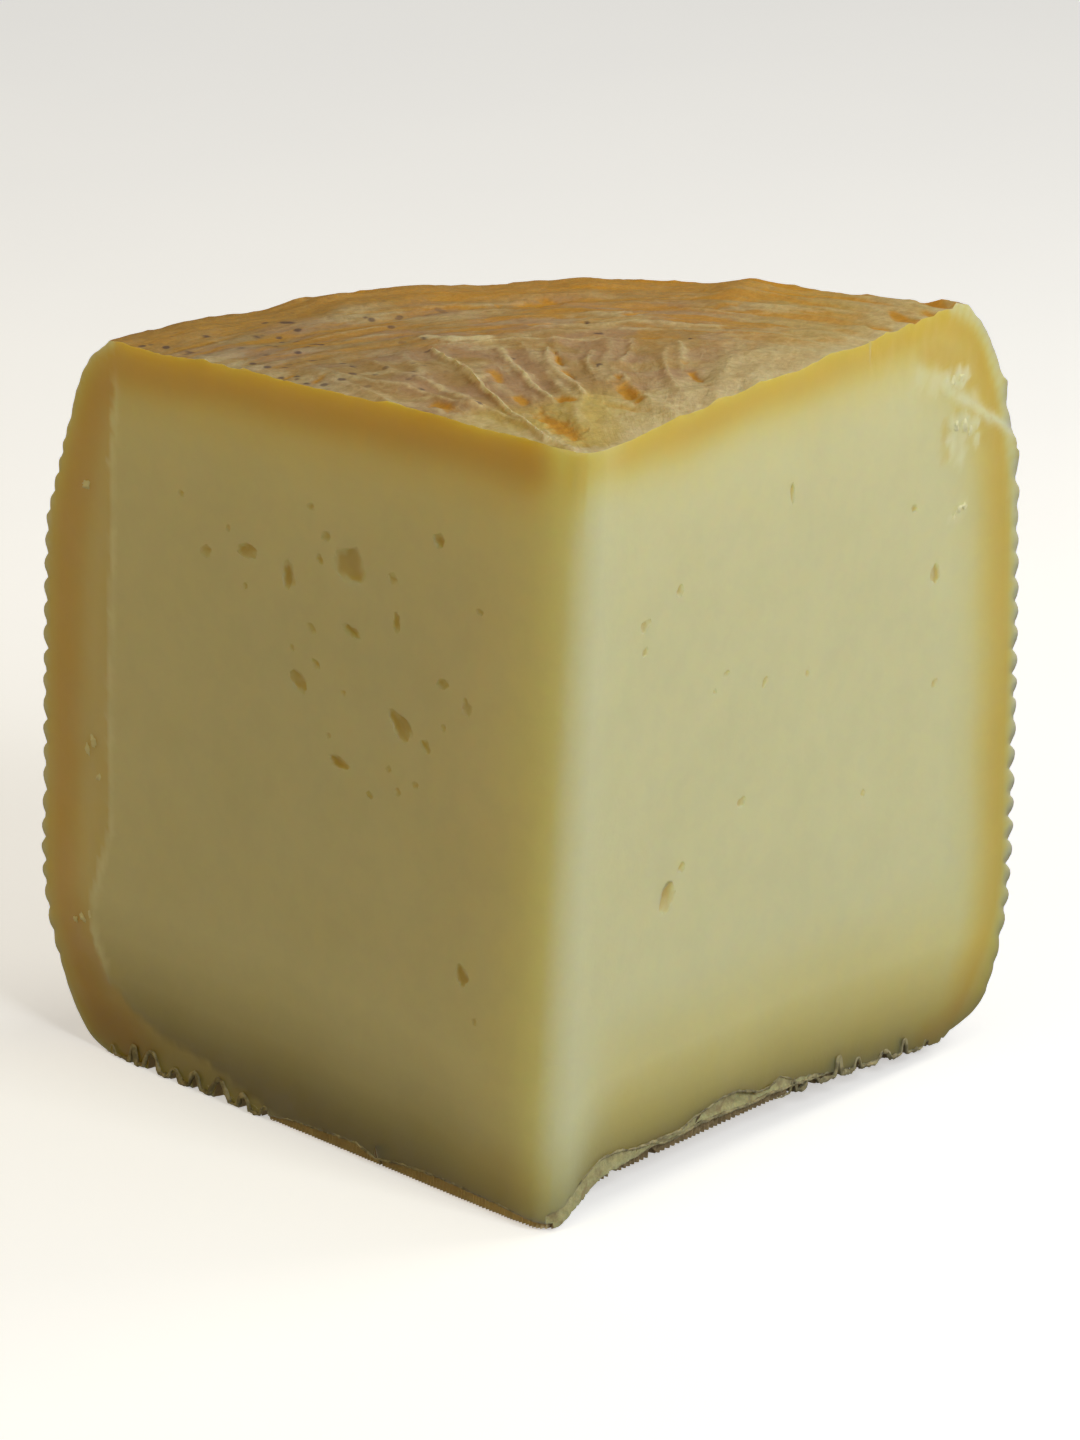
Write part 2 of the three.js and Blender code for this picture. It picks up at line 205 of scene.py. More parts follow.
# Orange pits in the upper rind: middle, length, width, depth, direction in degrees from +X
PITS = [
    (-1.4, 67.9, 10.0, 3.0, 0.4, 4), (13.8, 63.3, 13.0, 1.6, 0.3, -12), (10.5, 60.0, 5.0, 1.2, 0.3, 0),
    (-1.0, 57.0, 5.0, 1.2, 0.3, -6), (3.6, 56.5, 3.0, 1.2, 0.35, 0), (-8.5, 54.2, 3.6, 1.4, 0.3, 0),
    (12.3, 47.8, 6.5, 1.3, 0.3, -6), (0.8, 38.8, 7.5, 1.1, 0.45, -85), (1.8, 31.5, 6.5, 1.2, 0.4, -72),
    (8.6, 23.5, 10.0, 2.6, 0.28, -78), (0.1, 11.4, 17.0, 3.4, 0.33, -70), (1.2, 20.9, 4.0, 2.2, 0.28, -50),
    (-4.0, 22.5, 6.0, 2.0, 0.25, -70), (-6.6, 33.0, 7.0, 1.8, 0.22, -75), (16.5, 30.4, 7.5, 1.3, 0.35, -75),
    (-13.0, 21.0, 7.0, 2.4, 0.25, -58), (8.0, 17.2, 8.0, 3.0, 0.14, -30), (42.1, 65.8, 4.0, 1.5, 0.25, -35),
    (46.8, 61.5, 9.0, 2.6, 0.3, -64), (42.4, 54.6, 9.0, 2.6, 0.28, -66), (45.9, 55.5, 5.5, 2.2, 0.26, -65),
    (51.0, 59.7, 6.5, 3.0, 0.3, -50), (51.4, 56.3, 4.5, 2.4, 0.28, -80), (39.7, 49.3, 4.0, 2.4, 0.26, -60),
    (-31.2, 38.0, 5.0, 1.0, 0.25, 55), (-27.4, 36.4, 4.0, 0.9, 0.22, 55), (28.0, 66.0, 7.0, 1.6, 0.25, -25),
]
PIT_FULLY_ORANGE = 0.27
# Dark mould specks of the upper rind
SPECKS = [
    (-4.5, 40.6), (5.5, 34.9), (6.0, 50.8), (-14.9, 52.2), (-15.4, 28.6), (-8.9, 19.7), (4.8, 57.2),
    (16.8, 47.0), (50.0, 62.0), (-40.9, 59.9), (-36.7, 52.9), (-33.5, 48.8), (-27.8, 53.2), (-28.1, 45.1),
    (-32.5, 53.3), (-34.9, 58.4), (-31.7, 64.1), (-30.8, 63.8), (-42.9, 53.1), (-30.1, 38.1), (-31.4, 42.1),
]
SPECK_RADIUS = 0.65
MOULD_SPACING = 2.2
FOLDS_MEET = Vector((12.0, -30.0))
RINGS_MEET = Vector((-1.2, 0.0))
STREAK_RADIUS = 60.0

# How deep the darker zones of a cut reach: distance from the rind, share of the zone's colour
TOP_AMBER = {
    LEFT: [
        (0.0, 1.5), (0.8, 1.2), (1.5, 1.02), (2.8, 0.93), (4.0, 0.75), (5.3, 0.5), (6.6, 0.3),
        (7.8, 0.18), (10.4, 0.05), (14.0, 0.0),
    ],
    RIGHT: [
        (1.0, 1.0), (2.3, 0.85), (3.3, 0.6), (4.3, 0.4), (5.3, 0.25), (6.6, 0.12), (8.0, 0.05),
        (11.0, 0.0),
    ],
}
OUTER_AMBER = {
    LEFT: [(2.0, 0.8), (3.8, 1.0), (5.6, 0.95), (7.5, 0.75), (9.4, 0.45), (11.3, 0.32), (30.0, 0.26)],
    RIGHT: [
        (0.9, 0.7), (2.5, 0.95), (5.0, 0.65), (6.0, 0.5), (8.0, 0.3), (10.0, 0.12), (12.0, 0.05),
        (15.0, 0.0),
    ],
}
# Brown over the lower rind: partly the cheese's own colour there, partly painted shade along the foot,
# stronger and higher on the left cut, which is in shade
UNDER_BROWN_AND_SHADE = {
    LEFT: [(1.5, 1.2), (3.5, 1.02), (5.0, 0.88), (7.5, 0.6), (11.0, 0.3), (16.0, 0.09), (21.0, 0.0)],
    RIGHT: [(0.0, 0.8), (1.4, 0.74), (2.5, 0.63), (4.3, 0.44), (6.3, 0.27), (8.9, 0.13), (13.0, 0.0)],
}
# How far the brown and painted shade at the foot of the left cut is pushed down nearer the tip, and at the
# tip
NEARER_TIP_BROWN_SHADE_LIFT = 2.5
TIP_BROWN_SHADE_LIFT = 3.0

# Notches of the folded lower rind along the cuts' lower edges: place, width, height, slant in degrees
NOTCHES = {
    LEFT: [
        (81.0, 0.7, 1.3, 10), (77.0, 0.9, 2.2, -6), (73.3, 2.4, 2.4, 4), (69.0, 1.8, 1.5, -8),
        (64.8, 1.7, 2.1, 6), (60.3, 3.0, 2.5, -4), (55.8, 1.9, 1.8, -14), (51.9, 1.6, 1.5, -28),
        (30.5, 0.6, 2.5, 12),
    ],
    RIGHT: [
        (12.9, 1.2, 1.6, 55), (20.4, 1.6, 1.6, 20), (47.6, 0.8, 1.6, 5), (51.2, 2.6, 1.3, -12),
        (56.6, 0.75, 2.6, 0), (60.4, 1.1, 1.6, -10), (66.2, 2.3, 1.3, 18), (70.1, 0.8, 2.0, 0),
        (74.5, 1.2, 1.1, -20), (78.0, 1.2, 1.0, 10),
    ],
}
NOTCH_DEPTH = 3.5
NOTCH_NARROWING = 0.4
NOTCH_RAGGED = 0.25

# Height of the ribbed band at the foot of each cut, by distance from the tip
RIB_BAND = {
    LEFT: [
        (0.6, 1.1), (9.0, 1.6), (19.0, 1.9), (27.0, 1.5), (30.8, 0.8), (34.5, 1.9), (38.3, 1.8), (45.8, 1.4),
        (50.0, 0.8), (54.0, 0.0),
    ],
    RIGHT: [
        (7.0, 0.0), (10.0, 0.5), (18.3, 1.3), (20.0, 1.6), (22.0, 1.2), (25.0, 1.3), (28.7, 1.6),
        (33.0, 1.5), (39.0, 1.1), (42.0, 1.3), (48.5, 1.1), (56.0, 0.9), (62.0, 0.5), (80.0, 0.25),
    ],
}
RIB_BAND_PITCH = {LEFT: 0.55, RIGHT: 0.85}
RIB_BAND_DEPTH = 0.75
RIB_BAND_SWING = 0.24
RIB_STEPS = 5
RIB_BAND_ROWS = 7
RIB_BAND_RAGGED = 0.12
TOOTH_HEIGHT = {LEFT: 0.2, RIGHT: 0.5}
TOOTH_REACH = {LEFT: (2.0, 88.0), RIGHT: (4.0, 88.0)}
TOOTH_ROWS = 3
TOOTH_UNDER = 0.1
# The teeth run from a little out of the cut to as far inside it
TOOTH_RUN = (1, -3)

# Height of the torn rind over the foot of each cut, by distance from the tip
TORN_BAND = {
    LEFT: [(50.0, 0.0), (54.0, 1.3), (60.0, 1.0), (66.0, 1.7), (72.0, 1.3), (78.0, 0.7), (83.0, 0.0)],
    RIGHT: [
        (0.6, 2.0), (5.0, 2.7), (7.0, 2.8), (9.8, 3.0), (13.0, 2.9), (16.8, 2.1), (25.0, 1.9),
        (27.7, 2.8), (30.5, 3.2), (33.0, 3.7), (36.0, 3.6), (38.0, 3.1), (40.4, 2.2), (42.5, 2.2),
        (44.7, 3.0), (47.0, 2.1), (51.0, 1.7), (56.0, 0.9), (62.0, 0.7), (74.0, 0.5), (82.0, 0.0),
    ],
}
TORN_DEPTH = 0.15
TORN_PITCH = 0.35
TORN_ROWS = 10
TORN_RAGGED = 0.22
# Flap of torn rind that is broken off deeper: its reach from the tip
FLAP = (28.5, 40.0)
FLAP_DEPTH = 0.55
# Slit in the torn rind: distance from tip, height over the edge, length, width, slant in degrees
SLIT = (29.4, 2.2, 2.0, 0.5, 28)
SLIT_RAGGED = 0.3

# Pale lips of the lower rind: side, ends by distance from the tip, what they follow, radius
LIPS = [
    (LEFT, (49.5, 82.5), "notches", 0.3),
    (RIGHT, (43.5, 78.0), "notches", 0.3),
    (LEFT, (1.4, 50.0), "ribs", 0.18),
    (RIGHT, (17.0, 56.0), "ribs", 0.18),
    (RIGHT, (1.4, 50.0), "tear", 0.18),
]
# How far the lips lie over what they follow, and their least height over the lower edge
LIP_OVER = {"ribs": 0.1, "tear": 0.12, "notches": 0.12}
LIP_LEAST = 0.3
LIP_SUNK = 0.45
LIP_STEPS = 6
LIP_SIDES = 8
# Share of a lip's length, on both sides of a place, that says which way it runs there
LIP_NEARBY = 0.01

# Length, width and height of a crumb as shares of its size
CRUMB_SHAPE = (0.78, 0.54, 0.24)
CRUMB_RAGGED = 0.7
# Crumbs that stick to the cuts: side, distance from tip, height, size
CRUMBS = [
    (LEFT, 85.3, 72.8, 0.9), (LEFT, 84.4, 40.1, 1.0), (LEFT, 85.8, 38.8, 0.8), (LEFT, 83.3, 35.9, 0.7),
    (LEFT, 88.4, 15.9, 0.7), (LEFT, 86.8, 16.6, 0.9), (LEFT, 85.2, 17.5, 0.6), (RIGHT, 76.7, 87.2, 0.9),
    (RIGHT, 78.4, 87.3, 0.8), (RIGHT, 77.4, 81.6, 1.0), (RIGHT, 79.3, 81.2, 1.2), (RIGHT, 80.7, 80.2, 0.8),
    (RIGHT, 78.6, 70.6, 0.8), (RIGHT, 79.9, 70.9, 0.7), (RIGHT, 77.6, 70.0, 0.6),
]

# Photograph's view
VIEW_AZIMUTH = math.radians(-1.43)
VIEW_ELEVATION = math.radians(18.43)
VIEW_DISTANCE = 1.0
VIEW_TARGET = Vector((0.00014, -0.0167, 0.05403))
VIEW_LENS = 210.83
SENSOR_WIDTH = 36.0

# Lights: name, setting of the power, degrees round from the front and up, distance, size, colour
LIGHTS = [
    ("key", "key_power", 39, 30, 1.1, 0.5, (0.95, 0.985, 1.0)),
    ("fill", "fill_power", -52, 22, 1.2, 0.8, (1.0, 0.75, 0.26)),
    ("above", "top_power", 75, 68, 1.2, 0.9, (1.0, 0.97, 0.9)),
    ("right rim", "right_rim_power", 112, 34, 0.45, 0.25, (1.0, 0.96, 0.85)),
    ("left rim", "left_rim_power", -116, 14, 0.5, 0.25, (1.0, 0.7, 0.25)),
]
LIGHTS_FACE = Vector((0, 0, 0.045))
ROOM_LIGHT = (1.0, 0.94, 0.78, 1)
ROOM_SEEN = (0.93, 0.93, 0.925, 1)
FLOOR_HALF_WIDTH = 3.0
FLOOR_SHADES = ((0.93, 0.93, 0.93), (0.95, 0.95, 0.945))
FLOOR_GLOW = 0.45

# How far red, green and blue light go into the cheese and its rinds, as shares
PASTE_GLOW = (1.0, 0.78, 0.34)
FOOT_GLOW = (1.0, 0.6, 0.3)
LIP_GLOW = (1.0, 0.7, 0.35)
RIND_GLOW = (1.0, 0.5, 0.25)
CHEESE_IOR = 1.42
# How far light goes into the paste in the middle and where it is amber, in metres
PASTE_GLOW_REACH = (0.028, 0.014)
MOULDY_TINT = (0.85, 0.90, 1.0)


class PecorinoSizes(bpy.types.PropertyGroup):
    """Sizes of the wedge"""

    half_angle: bpy.props.FloatProperty(
        name="Half angle", description="Half of the angle between the two cuts",
        default=math.radians(40.3), subtype="ANGLE",
    )
    tip_rounding: bpy.props.FloatProperty(
        name="Tip rounding", description="Radius of the edge where the cuts meet",
        default=0.003, unit="LENGTH",
    )
    rib_pitch: bpy.props.FloatProperty(
        name="Rib pitch", description="Distance between the ribs that the mould left in the side",
        default=0.00315, unit="LENGTH",
    )
    rib_depth: bpy.props.FloatProperty(
        name="Rib depth", description="Depth of the hollows between the ribs",
        default=0.0011, unit="LENGTH",
    )
    streak_height: bpy.props.FloatProperty(
        name="Streak height", description="Height of the ring streaks near the rim of the upper rind",
        default=0.00034, unit="LENGTH",
    )
    fold_height: bpy.props.FloatProperty(
        name="Fold height", description="Height of the folds that run towards the tip",
        default=0.0005, unit="LENGTH",
    )


class PecorinoColours(bpy.types.PropertyGroup):
    """Colours of the cheese and its rinds"""

    paste: bpy.props.FloatVectorProperty(
        name="Paste", description="Cheese in the middle of the cut",
        default=(0.80, 0.765, 0.41), subtype="COLOR",
    )
    amber: bpy.props.FloatVectorProperty(
        name="Amber", description="Drier cheese under the upper and outer rind",
        default=(0.72, 0.49, 0.075), subtype="COLOR",
    )
    # Its share near the tip edge, and along the strip's edge on the left cut, is a painted highlight; on
    # torn and broken places it is the cheese's own colour
    pale: bpy.props.FloatVectorProperty(
        name="Pale cheese", description="Whitish cheese where it is torn, and at the tip edge",
        default=(0.90, 0.875, 0.55), subtype="COLOR",
    )
    # Partly the cheese's own brown over the lower rind, partly painted shade along the foot
    brown: bpy.props.FloatVectorProperty(
        name="Brown", description="Darkened cheese over the lower rind",
        default=(0.25, 0.205, 0.055), subtype="COLOR",
    )
    # The eye walls darken towards this colour with depth: partly their own warm tint, partly painted shade
    # in the hollows
    eye: bpy.props.FloatVectorProperty(
        name="Eye", description="Walls of the eyes",
        default=(0.73, 0.60, 0.235), subtype="COLOR",
    )
    outer: bpy.props.FloatVectorProperty(
        name="Outer cheese", description="Pale cheese just under the outer rind",
        default=(0.74, 0.64, 0.27), subtype="COLOR",
    )
    tan: bpy.props.FloatVectorProperty(
        name="Rind tan", description="Main colour of the rind",
        default=(0.55, 0.345, 0.13), subtype="COLOR",
    )
    rose: bpy.props.FloatVectorProperty(
        name="Rind rose", description="Greyish pink plates of the rind",
        default=(0.53, 0.33, 0.17), subtype="COLOR",
    )
    ochre: bpy.props.FloatVectorProperty(
        name="Rind ochre", description="Orange hollows of the rind",
        default=(0.69, 0.335, 0.045), subtype="COLOR",
    )
    straw: bpy.props.FloatVectorProperty(
        name="Rind straw", description="Yellow rind near the tip",
        default=(0.68, 0.50, 0.15), subtype="COLOR",
    )
    cream: bpy.props.FloatVectorProperty(
        name="Rind cream", description="Pale crests and edges of the rind",
        default=(0.78, 0.63, 0.33), subtype="COLOR",
    )
    torn: bpy.props.FloatVectorProperty(
        name="Torn rind", description="Grey cream of the torn lower rind",
        default=(0.60, 0.545, 0.27), subtype="COLOR",
    )
    ribbed: bpy.props.FloatVectorProperty(
        name="Ribbed rind", description="Grey brown of the ribbed lower rind",
        default=(0.36, 0.27, 0.14), subtype="COLOR",
    )
    # Lighter copy of the ribbed rind: painted light for the left cut, which is in shade
    ribbed_painted_lit: bpy.props.FloatVectorProperty(
        name="Light ribbed rind", description="Lighter brown of the ribbed lower rind of the left cut",
        default=(0.78, 0.62, 0.34), subtype="COLOR",
    )
    lip: bpy.props.FloatVectorProperty(
        name="Lip", description="Pale edges of the folded lower rind",
        default=(0.42, 0.365, 0.20), subtype="COLOR",
    )
    crumb: bpy.props.FloatVectorProperty(
        name="Crumbs", description="Pale crumbs that stick to the cuts",
        default=(0.93, 0.88, 0.53), subtype="COLOR",
    )
    speck: bpy.props.FloatVectorProperty(
        name="Specks", description="Dark mould specks of the rind",
        default=(0.17, 0.11, 0.085), subtype="COLOR",
    )


class StudioSettings(bpy.types.PropertyGroup):
    """Strengths of the lights and of the room"""

    key_power: bpy.props.FloatProperty(
        name="Key light", description="Power of the large light at the right", default=6.45, unit="POWER",
    )
    fill_power: bpy.props.FloatProperty(
        name="Fill light", description="Power of the warm light at the left", default=2.45, unit="POWER",
    )
    top_power: bpy.props.FloatProperty(
        name="Top light", description="Power of the light above", default=1.9, unit="POWER",
    )
    right_rim_power: bpy.props.FloatProperty(
        name="Right rim light", description="Power of the small light behind the right cut",
        default=0.5, unit="POWER",
    )
    left_rim_power: bpy.props.FloatProperty(
        name="Left rim light", description="Power of the small light behind the left cut",
        default=0.3, unit="POWER",
    )
    surround: bpy.props.FloatProperty(
        name="Surround", description="Brightness of the pale room", default=0.09,
    )


def smoothstep(value, low, high):
    """0 up to low, 1 from high on, and a smooth rise between them."""
    share = min(1.0, max(0.0, (value - low) / (high - low)))
    return share * share * (3 - 2 * share)


def bump_between(value, low, high, fade):
    """1 between low and high, fading out over fade on both sides."""
    return smoothstep(value, low - fade, low) * (1 - smoothstep(value, high, high + fade))


def along_curve(value, curve):
    """Height of a curve, given as rising places with their heights, at a value."""
    before = curve[0]
    for after in curve:
        if value < after[0]:
            share = (value - before[0]) / (after[0] - before[0]) if after is not before else 0.0
            return before[1] + share * (after[1] - before[1])
        before = after
    return before[1]


def between(ends, share):
    """The value at a share of the way from the first end to the second."""
    return ends[0] + share * (ends[1] - ends[0])


def grain(x, y, z):
    """Smooth noise from -1 to 1, one wave per unit. Where x and y say it all, z only picks the pattern."""
    return noise.noise(Vector((x, y, z)))


class Wedge:
    """The sizes in millimetres, and the places on the wedge that follow from them."""

    def __init__(self, sizes):
        self.half_angle = sizes.half_angle
        self.tip_rounding = sizes.tip_rounding / MM
        self.rib_pitch = sizes.rib_pitch / MM
        self.rib_depth = sizes.rib_depth / MM
        self.streak_height = sizes.streak_height / MM
        self.fold_height = sizes.fold_height / MM
        sine, cosine = math.sin(self.half_angle), math.cos(self.half_angle)
        self.along = {side: Vector((side * sine, cosine, 0)) for side in (LEFT, RIGHT)}
        self.out = {side: Vector((side * cosine, -sine, 0)) for side in (LEFT, RIGHT)}

    def lean(self, distance, z):
        """How far a place on the leaning tip is pulled along, less and less away from it."""
        share = max(0.0, 1 - distance / LEAN_REACH) * z / LEAN_HEIGHT
        return Vector((TIP_LEAN.x * share, TIP_LEAN.y * share, 0))

    def on_cut(self, side, distance, z, outward=0.0):
        """A place on a cut, or a little outward of it where asked."""
        flat = self.along[side] * distance + self.out[side] * outward
        return flat + Vector((0, 0, z)) + self.lean(distance, z)

    def rounding(self, distance):
        """How far the rounded tip lies behind the plane of a cut."""
        start = self.tip_rounding / math.tan(self.half_angle)
        short = min(max(0.0, start - distance), self.tip_rounding * math.cos(self.half_angle))
        return self.tip_rounding - math.sqrt(self.tip_rounding**2 - short * short)

    def cut_frame(self, side, distance, z):
        """A matrix from places beside, above and out of a place on a cut to the wedge's own."""
        turn = Matrix((self.along[side] * side, Vector((0, 0, 1)), self.out[side])).transposed()
        return Matrix.Translation(self.on_cut(side, distance, z)) @ turn.to_4x4()

    def read_cut(self, side, place):
        """Distance from the tip and distance out of a cut, of a place near it."""
        leant = place - self.lean(place.to_2d().length, place.z)
        return leant.dot(self.along[side]), leant.dot(self.out[side])

    def arch(self, x, y):
        """How far the underside is drawn up at a place."""
        distance = x * self.along[RIGHT].x + y * self.along[RIGHT].y
        inside = {side: -(x * self.out[side].x + y * self.out[side].y) for side in (LEFT, RIGHT)}
        rise = smoothstep(inside[LEFT], 0, ARCH_FULL[0])
        rise *= 1 - smoothstep(distance, ARCH_FULL[1], ARCH_END)
        return ARCH_HEIGHT * rise * (1 - smoothstep(inside[RIGHT], 0, ARCH_REACH))

    def lower_edge(self, side, distance):
        """Height of a cut's lower edge."""
        if side == LEFT:
            return 0.0
        place = self.along[RIGHT] * distance
        return self.arch(place.x, place.y)


def side_profile(wedge):
    """Evenly spaced places up the ribbed side, each with its direction."""
    corners = [Vector(corner) for corner in SIDE_CORNERS]
    last = len(corners) - 1
    fine = [corners[0]]
    for i in range(last):
        here, after = corners[i], corners[i + 1]
        before, beyond = corners[max(i - 1, 0)], corners[min(i + 2, last)]
        bend = geometry.interpolate_bezier(
            here, here + (after - before) / 6, after - (beyond - here) / 6, after, CORNER_STEPS
        )
        fine.extend(bend[1:])
    lengths = [0.0]
    for here, after in zip(fine, fine[1:]):
        lengths.append(lengths[-1] + (after - here).length)
    steps = round(lengths[-1] / wedge.rib_pitch) * STEPS_PER_RIB
    profile = []
    span = 0
    for i in range(steps + 1):
        wanted = lengths[-1] * i / steps
        while span < len(fine) - 2 and lengths[span + 1] < wanted:
            span += 1
        share = (wanted - lengths[span]) / (lengths[span + 1] - lengths[span])
        direction = (fine[span + 1] - fine[span]).normalized()
        profile.append((fine[span].lerp(fine[span + 1], share), direction))
    return profile


def crown_height(share):
    """Height of the smooth upper rind, at a share of the way from its middle to its edge."""
    return TOP_MIDDLE_HEIGHT - (TOP_MIDDLE_HEIGHT - TOP_EDGE_HEIGHT) * share * share


def wheel_lean(z):
    """How far the wheel leans to the right at a height."""
    return WHEEL_LEAN_X * (z / TOP_MIDDLE_HEIGHT - 0.5)


def wheel_section(wedge):
    """The wheel's half section from the middle of the underside to the middle of the top.
    Each row holds the radius, height, direction, part and, on the side, the count of ribs up to there."""
    flat = Vector((1, 0))
    rings = round(SIDE_CORNERS[0][0] / UNDER_RING)
    rows = [(SIDE_CORNERS[0][0] * i / rings, 0.0, flat, "under", 0.0) for i in range(rings)]
    for i, (place, direction) in enumerate(side_profile(wedge)):
        rows.append((place.x, place.y, direction, "side", i / STEPS_PER_RIB))
    rings = round(TOP_EDGE_RADIUS / TOP_RING)
    for i in range(rings - 1, -1, -1):
        share = i / rings
        rows.append((TOP_EDGE_RADIUS * share, crown_height(share), -flat, "top", 0.0))
    return rows


def rib_strength(z):
    """How much of the ribs' depth is left at a height of the side."""
    foot = smoothstep(z, 5, 19)
    head = 1 - smoothstep(z, 73, 87)
    upper = 1 - 0.4 * smoothstep(z, 50, 70)
    return foot * head * upper


def side_relief(wedge, ribs, angle, z):
    """Depth of the mould's marks at a place on the side, and how far it is down in a hollow from 0 to 1."""
    wander = 0.17 * grain(angle * 5, ribs * 0.45, 4.2) + 0.05 * grain(angle * 26, ribs, 8.1)
    count = ribs + wander
    hollow = 1 - abs(math.sin(math.pi * count))
    uneven = 1 + 0.4 * grain(math.floor(count + 0.5) * 1.7, angle * 7, 1.3)
    dimples = 0.12 * grain(angle * 60, z / 1.7, 2.0) + 0.05 * grain(angle * 150, z / 0.7, 5.0)
    small = 0.35 * (1 - rib_strength(z)) * grain(angle * 22, z / 1.9, 7.7) * smoothstep(z, 3, 8)
    return wedge.rib_depth * rib_strength(z) * hollow * uneven + dimples + small, hollow * rib_strength(z)


def ridge_at(x, y):
    """Height of the raised ridges at a place on the upper rind, and their share of cream there."""
    here = Vector((x, y, 0))
    height, cream = 0.0, 0.0
    for number, (width, rise, pale, places) in enumerate(RIDGES):
        nearest, passed = math.inf, 0.0
        for i, (start, end) in enumerate(zip(places, places[1:])):
            start, end = Vector((*start, 0)), Vector((*end, 0))
            share = geometry.intersect_point_line(here, start, end)[1]
            away = (here - start.lerp(end, min(1.0, max(0.0, share)))).length
            if away < nearest:
                nearest, passed = away, i + share
        if nearest > 4 * width:
            continue
        uneven = width * (1 + 0.5 * grain(y / 2.6, x / 1.5, number * 3.7))
        share = math.exp(-((nearest + 0.35 * width * grain(x / 0.9, y / 1.4, number)) / uneven) ** 2)
        share *= 0.8 + 0.35 * grain(passed * 2.3, number, 1.9)
        height += rise * share
        cream = max(cream, min(1.0, pale * smoothstep(share, 0.1, 0.75)))
    return height, cream


def pit_at(x, y):
    """The orange pits' share of orange at a place of the upper rind, and their depth there."""
    orange, depth = 0.0, 0.0
    for middle_x, middle_y, length, width, deep, degrees in PITS:
        away_x, away_y = x - middle_x, y - middle_y
        if abs(away_x) > length or abs(away_y) > length:
            continue
        turn = math.radians(degrees)
        along = (away_x * math.cos(turn) + away_y * math.sin(turn)) / (length / 2)
        across = (away_y * math.cos(turn) - away_x * math.sin(turn)) / (width / 2)
        ragged = 1 + 0.6 * grain(x / 1.1, y / 1.9, middle_x) + 0.3 * grain(x / 0.6, y / 0.9, middle_y)
        share = 1 - smoothstep(math.hypot(along, across) * ragged, 0.2, 1.25)
        orange = max(orange, share * min(1.0, deep / PIT_FULLY_ORANGE))
        depth = max(depth, share * deep)
    return orange, depth


def top_relief(wedge, x, y):
    """Height of the upper rind over its smooth crown, and how far it is orange, pale, at the back,
    at the rim and in a pit."""
    radius = math.hypot(x - WHEEL_MIDDLE_X, y)
    angle = math.atan2(x - WHEEL_MIDDLE_X, y)
    arc = radius * angle
    back = smoothstep(radius, 40, 60)
    rim = smoothstep(radius, 60, 78)
    sway = grain(arc / 19, radius / 11, 3.1)
    ring = grain(radius / 2.3 + 1.5 * sway, arc / 21, 0.7) + 0.5 * grain(radius / 1.1 + sway, arc / 9, 5.7)
    toward = math.degrees(math.atan2(x - FOLDS_MEET.x, y - FOLDS_MEET.y))
    reach = math.hypot(x - FOLDS_MEET.x, y - FOLDS_MEET.y)
    fold = 1 - 2.6 * abs(grain(toward / 4.6, reach / 19, 2.4))
    fold = max(0.0, fold) ** 1.5
    near = (1 - back) * smoothstep(reach, 34, 48)
    plates = grain(x / 12, y / 8, 6.3) + 0.5 * grain(x / 5, y / 3.6, 1.9)
    small = 0.07 * grain(x / 1.3, y / 1.0, 3.3) + 0.035 * grain(x / 0.6, y / 0.5, 8.3)
    turned = math.degrees(angle)
    bumps = sum(high * math.exp(-(((turned - place) / half) ** 2)) for place, half, high in RIM_BUMPS)
    ridge, ridge_cream = ridge_at(x, y)
    pitted, pit_depth = pit_at(x, y)
    height = wedge.streak_height * (0.25 + 0.75 * back) * ring + wedge.fold_height * near * fold
    relief = 0.34 * plates + 1.4 * small + 1.3 * ridge - 1.1 * pit_depth
    height += relief + bumps * smoothstep(radius, 64, 78)
    valley = smoothstep(-ring, 0.1, 0.55)
    crest = max(smoothstep(ring, 0.15, 0.6) * (0.3 + 0.7 * back), near * smoothstep(fold, 0.4, 0.95))
    return {
        "height": height,
        "ochre": max(pitted, valley * (0.35 * back + 0.6 * rim)),
        "cream": max(crest * 0.5, ridge_cream),
        "back": back,
        "rim": rim,
        "pitted": pitted,
    }


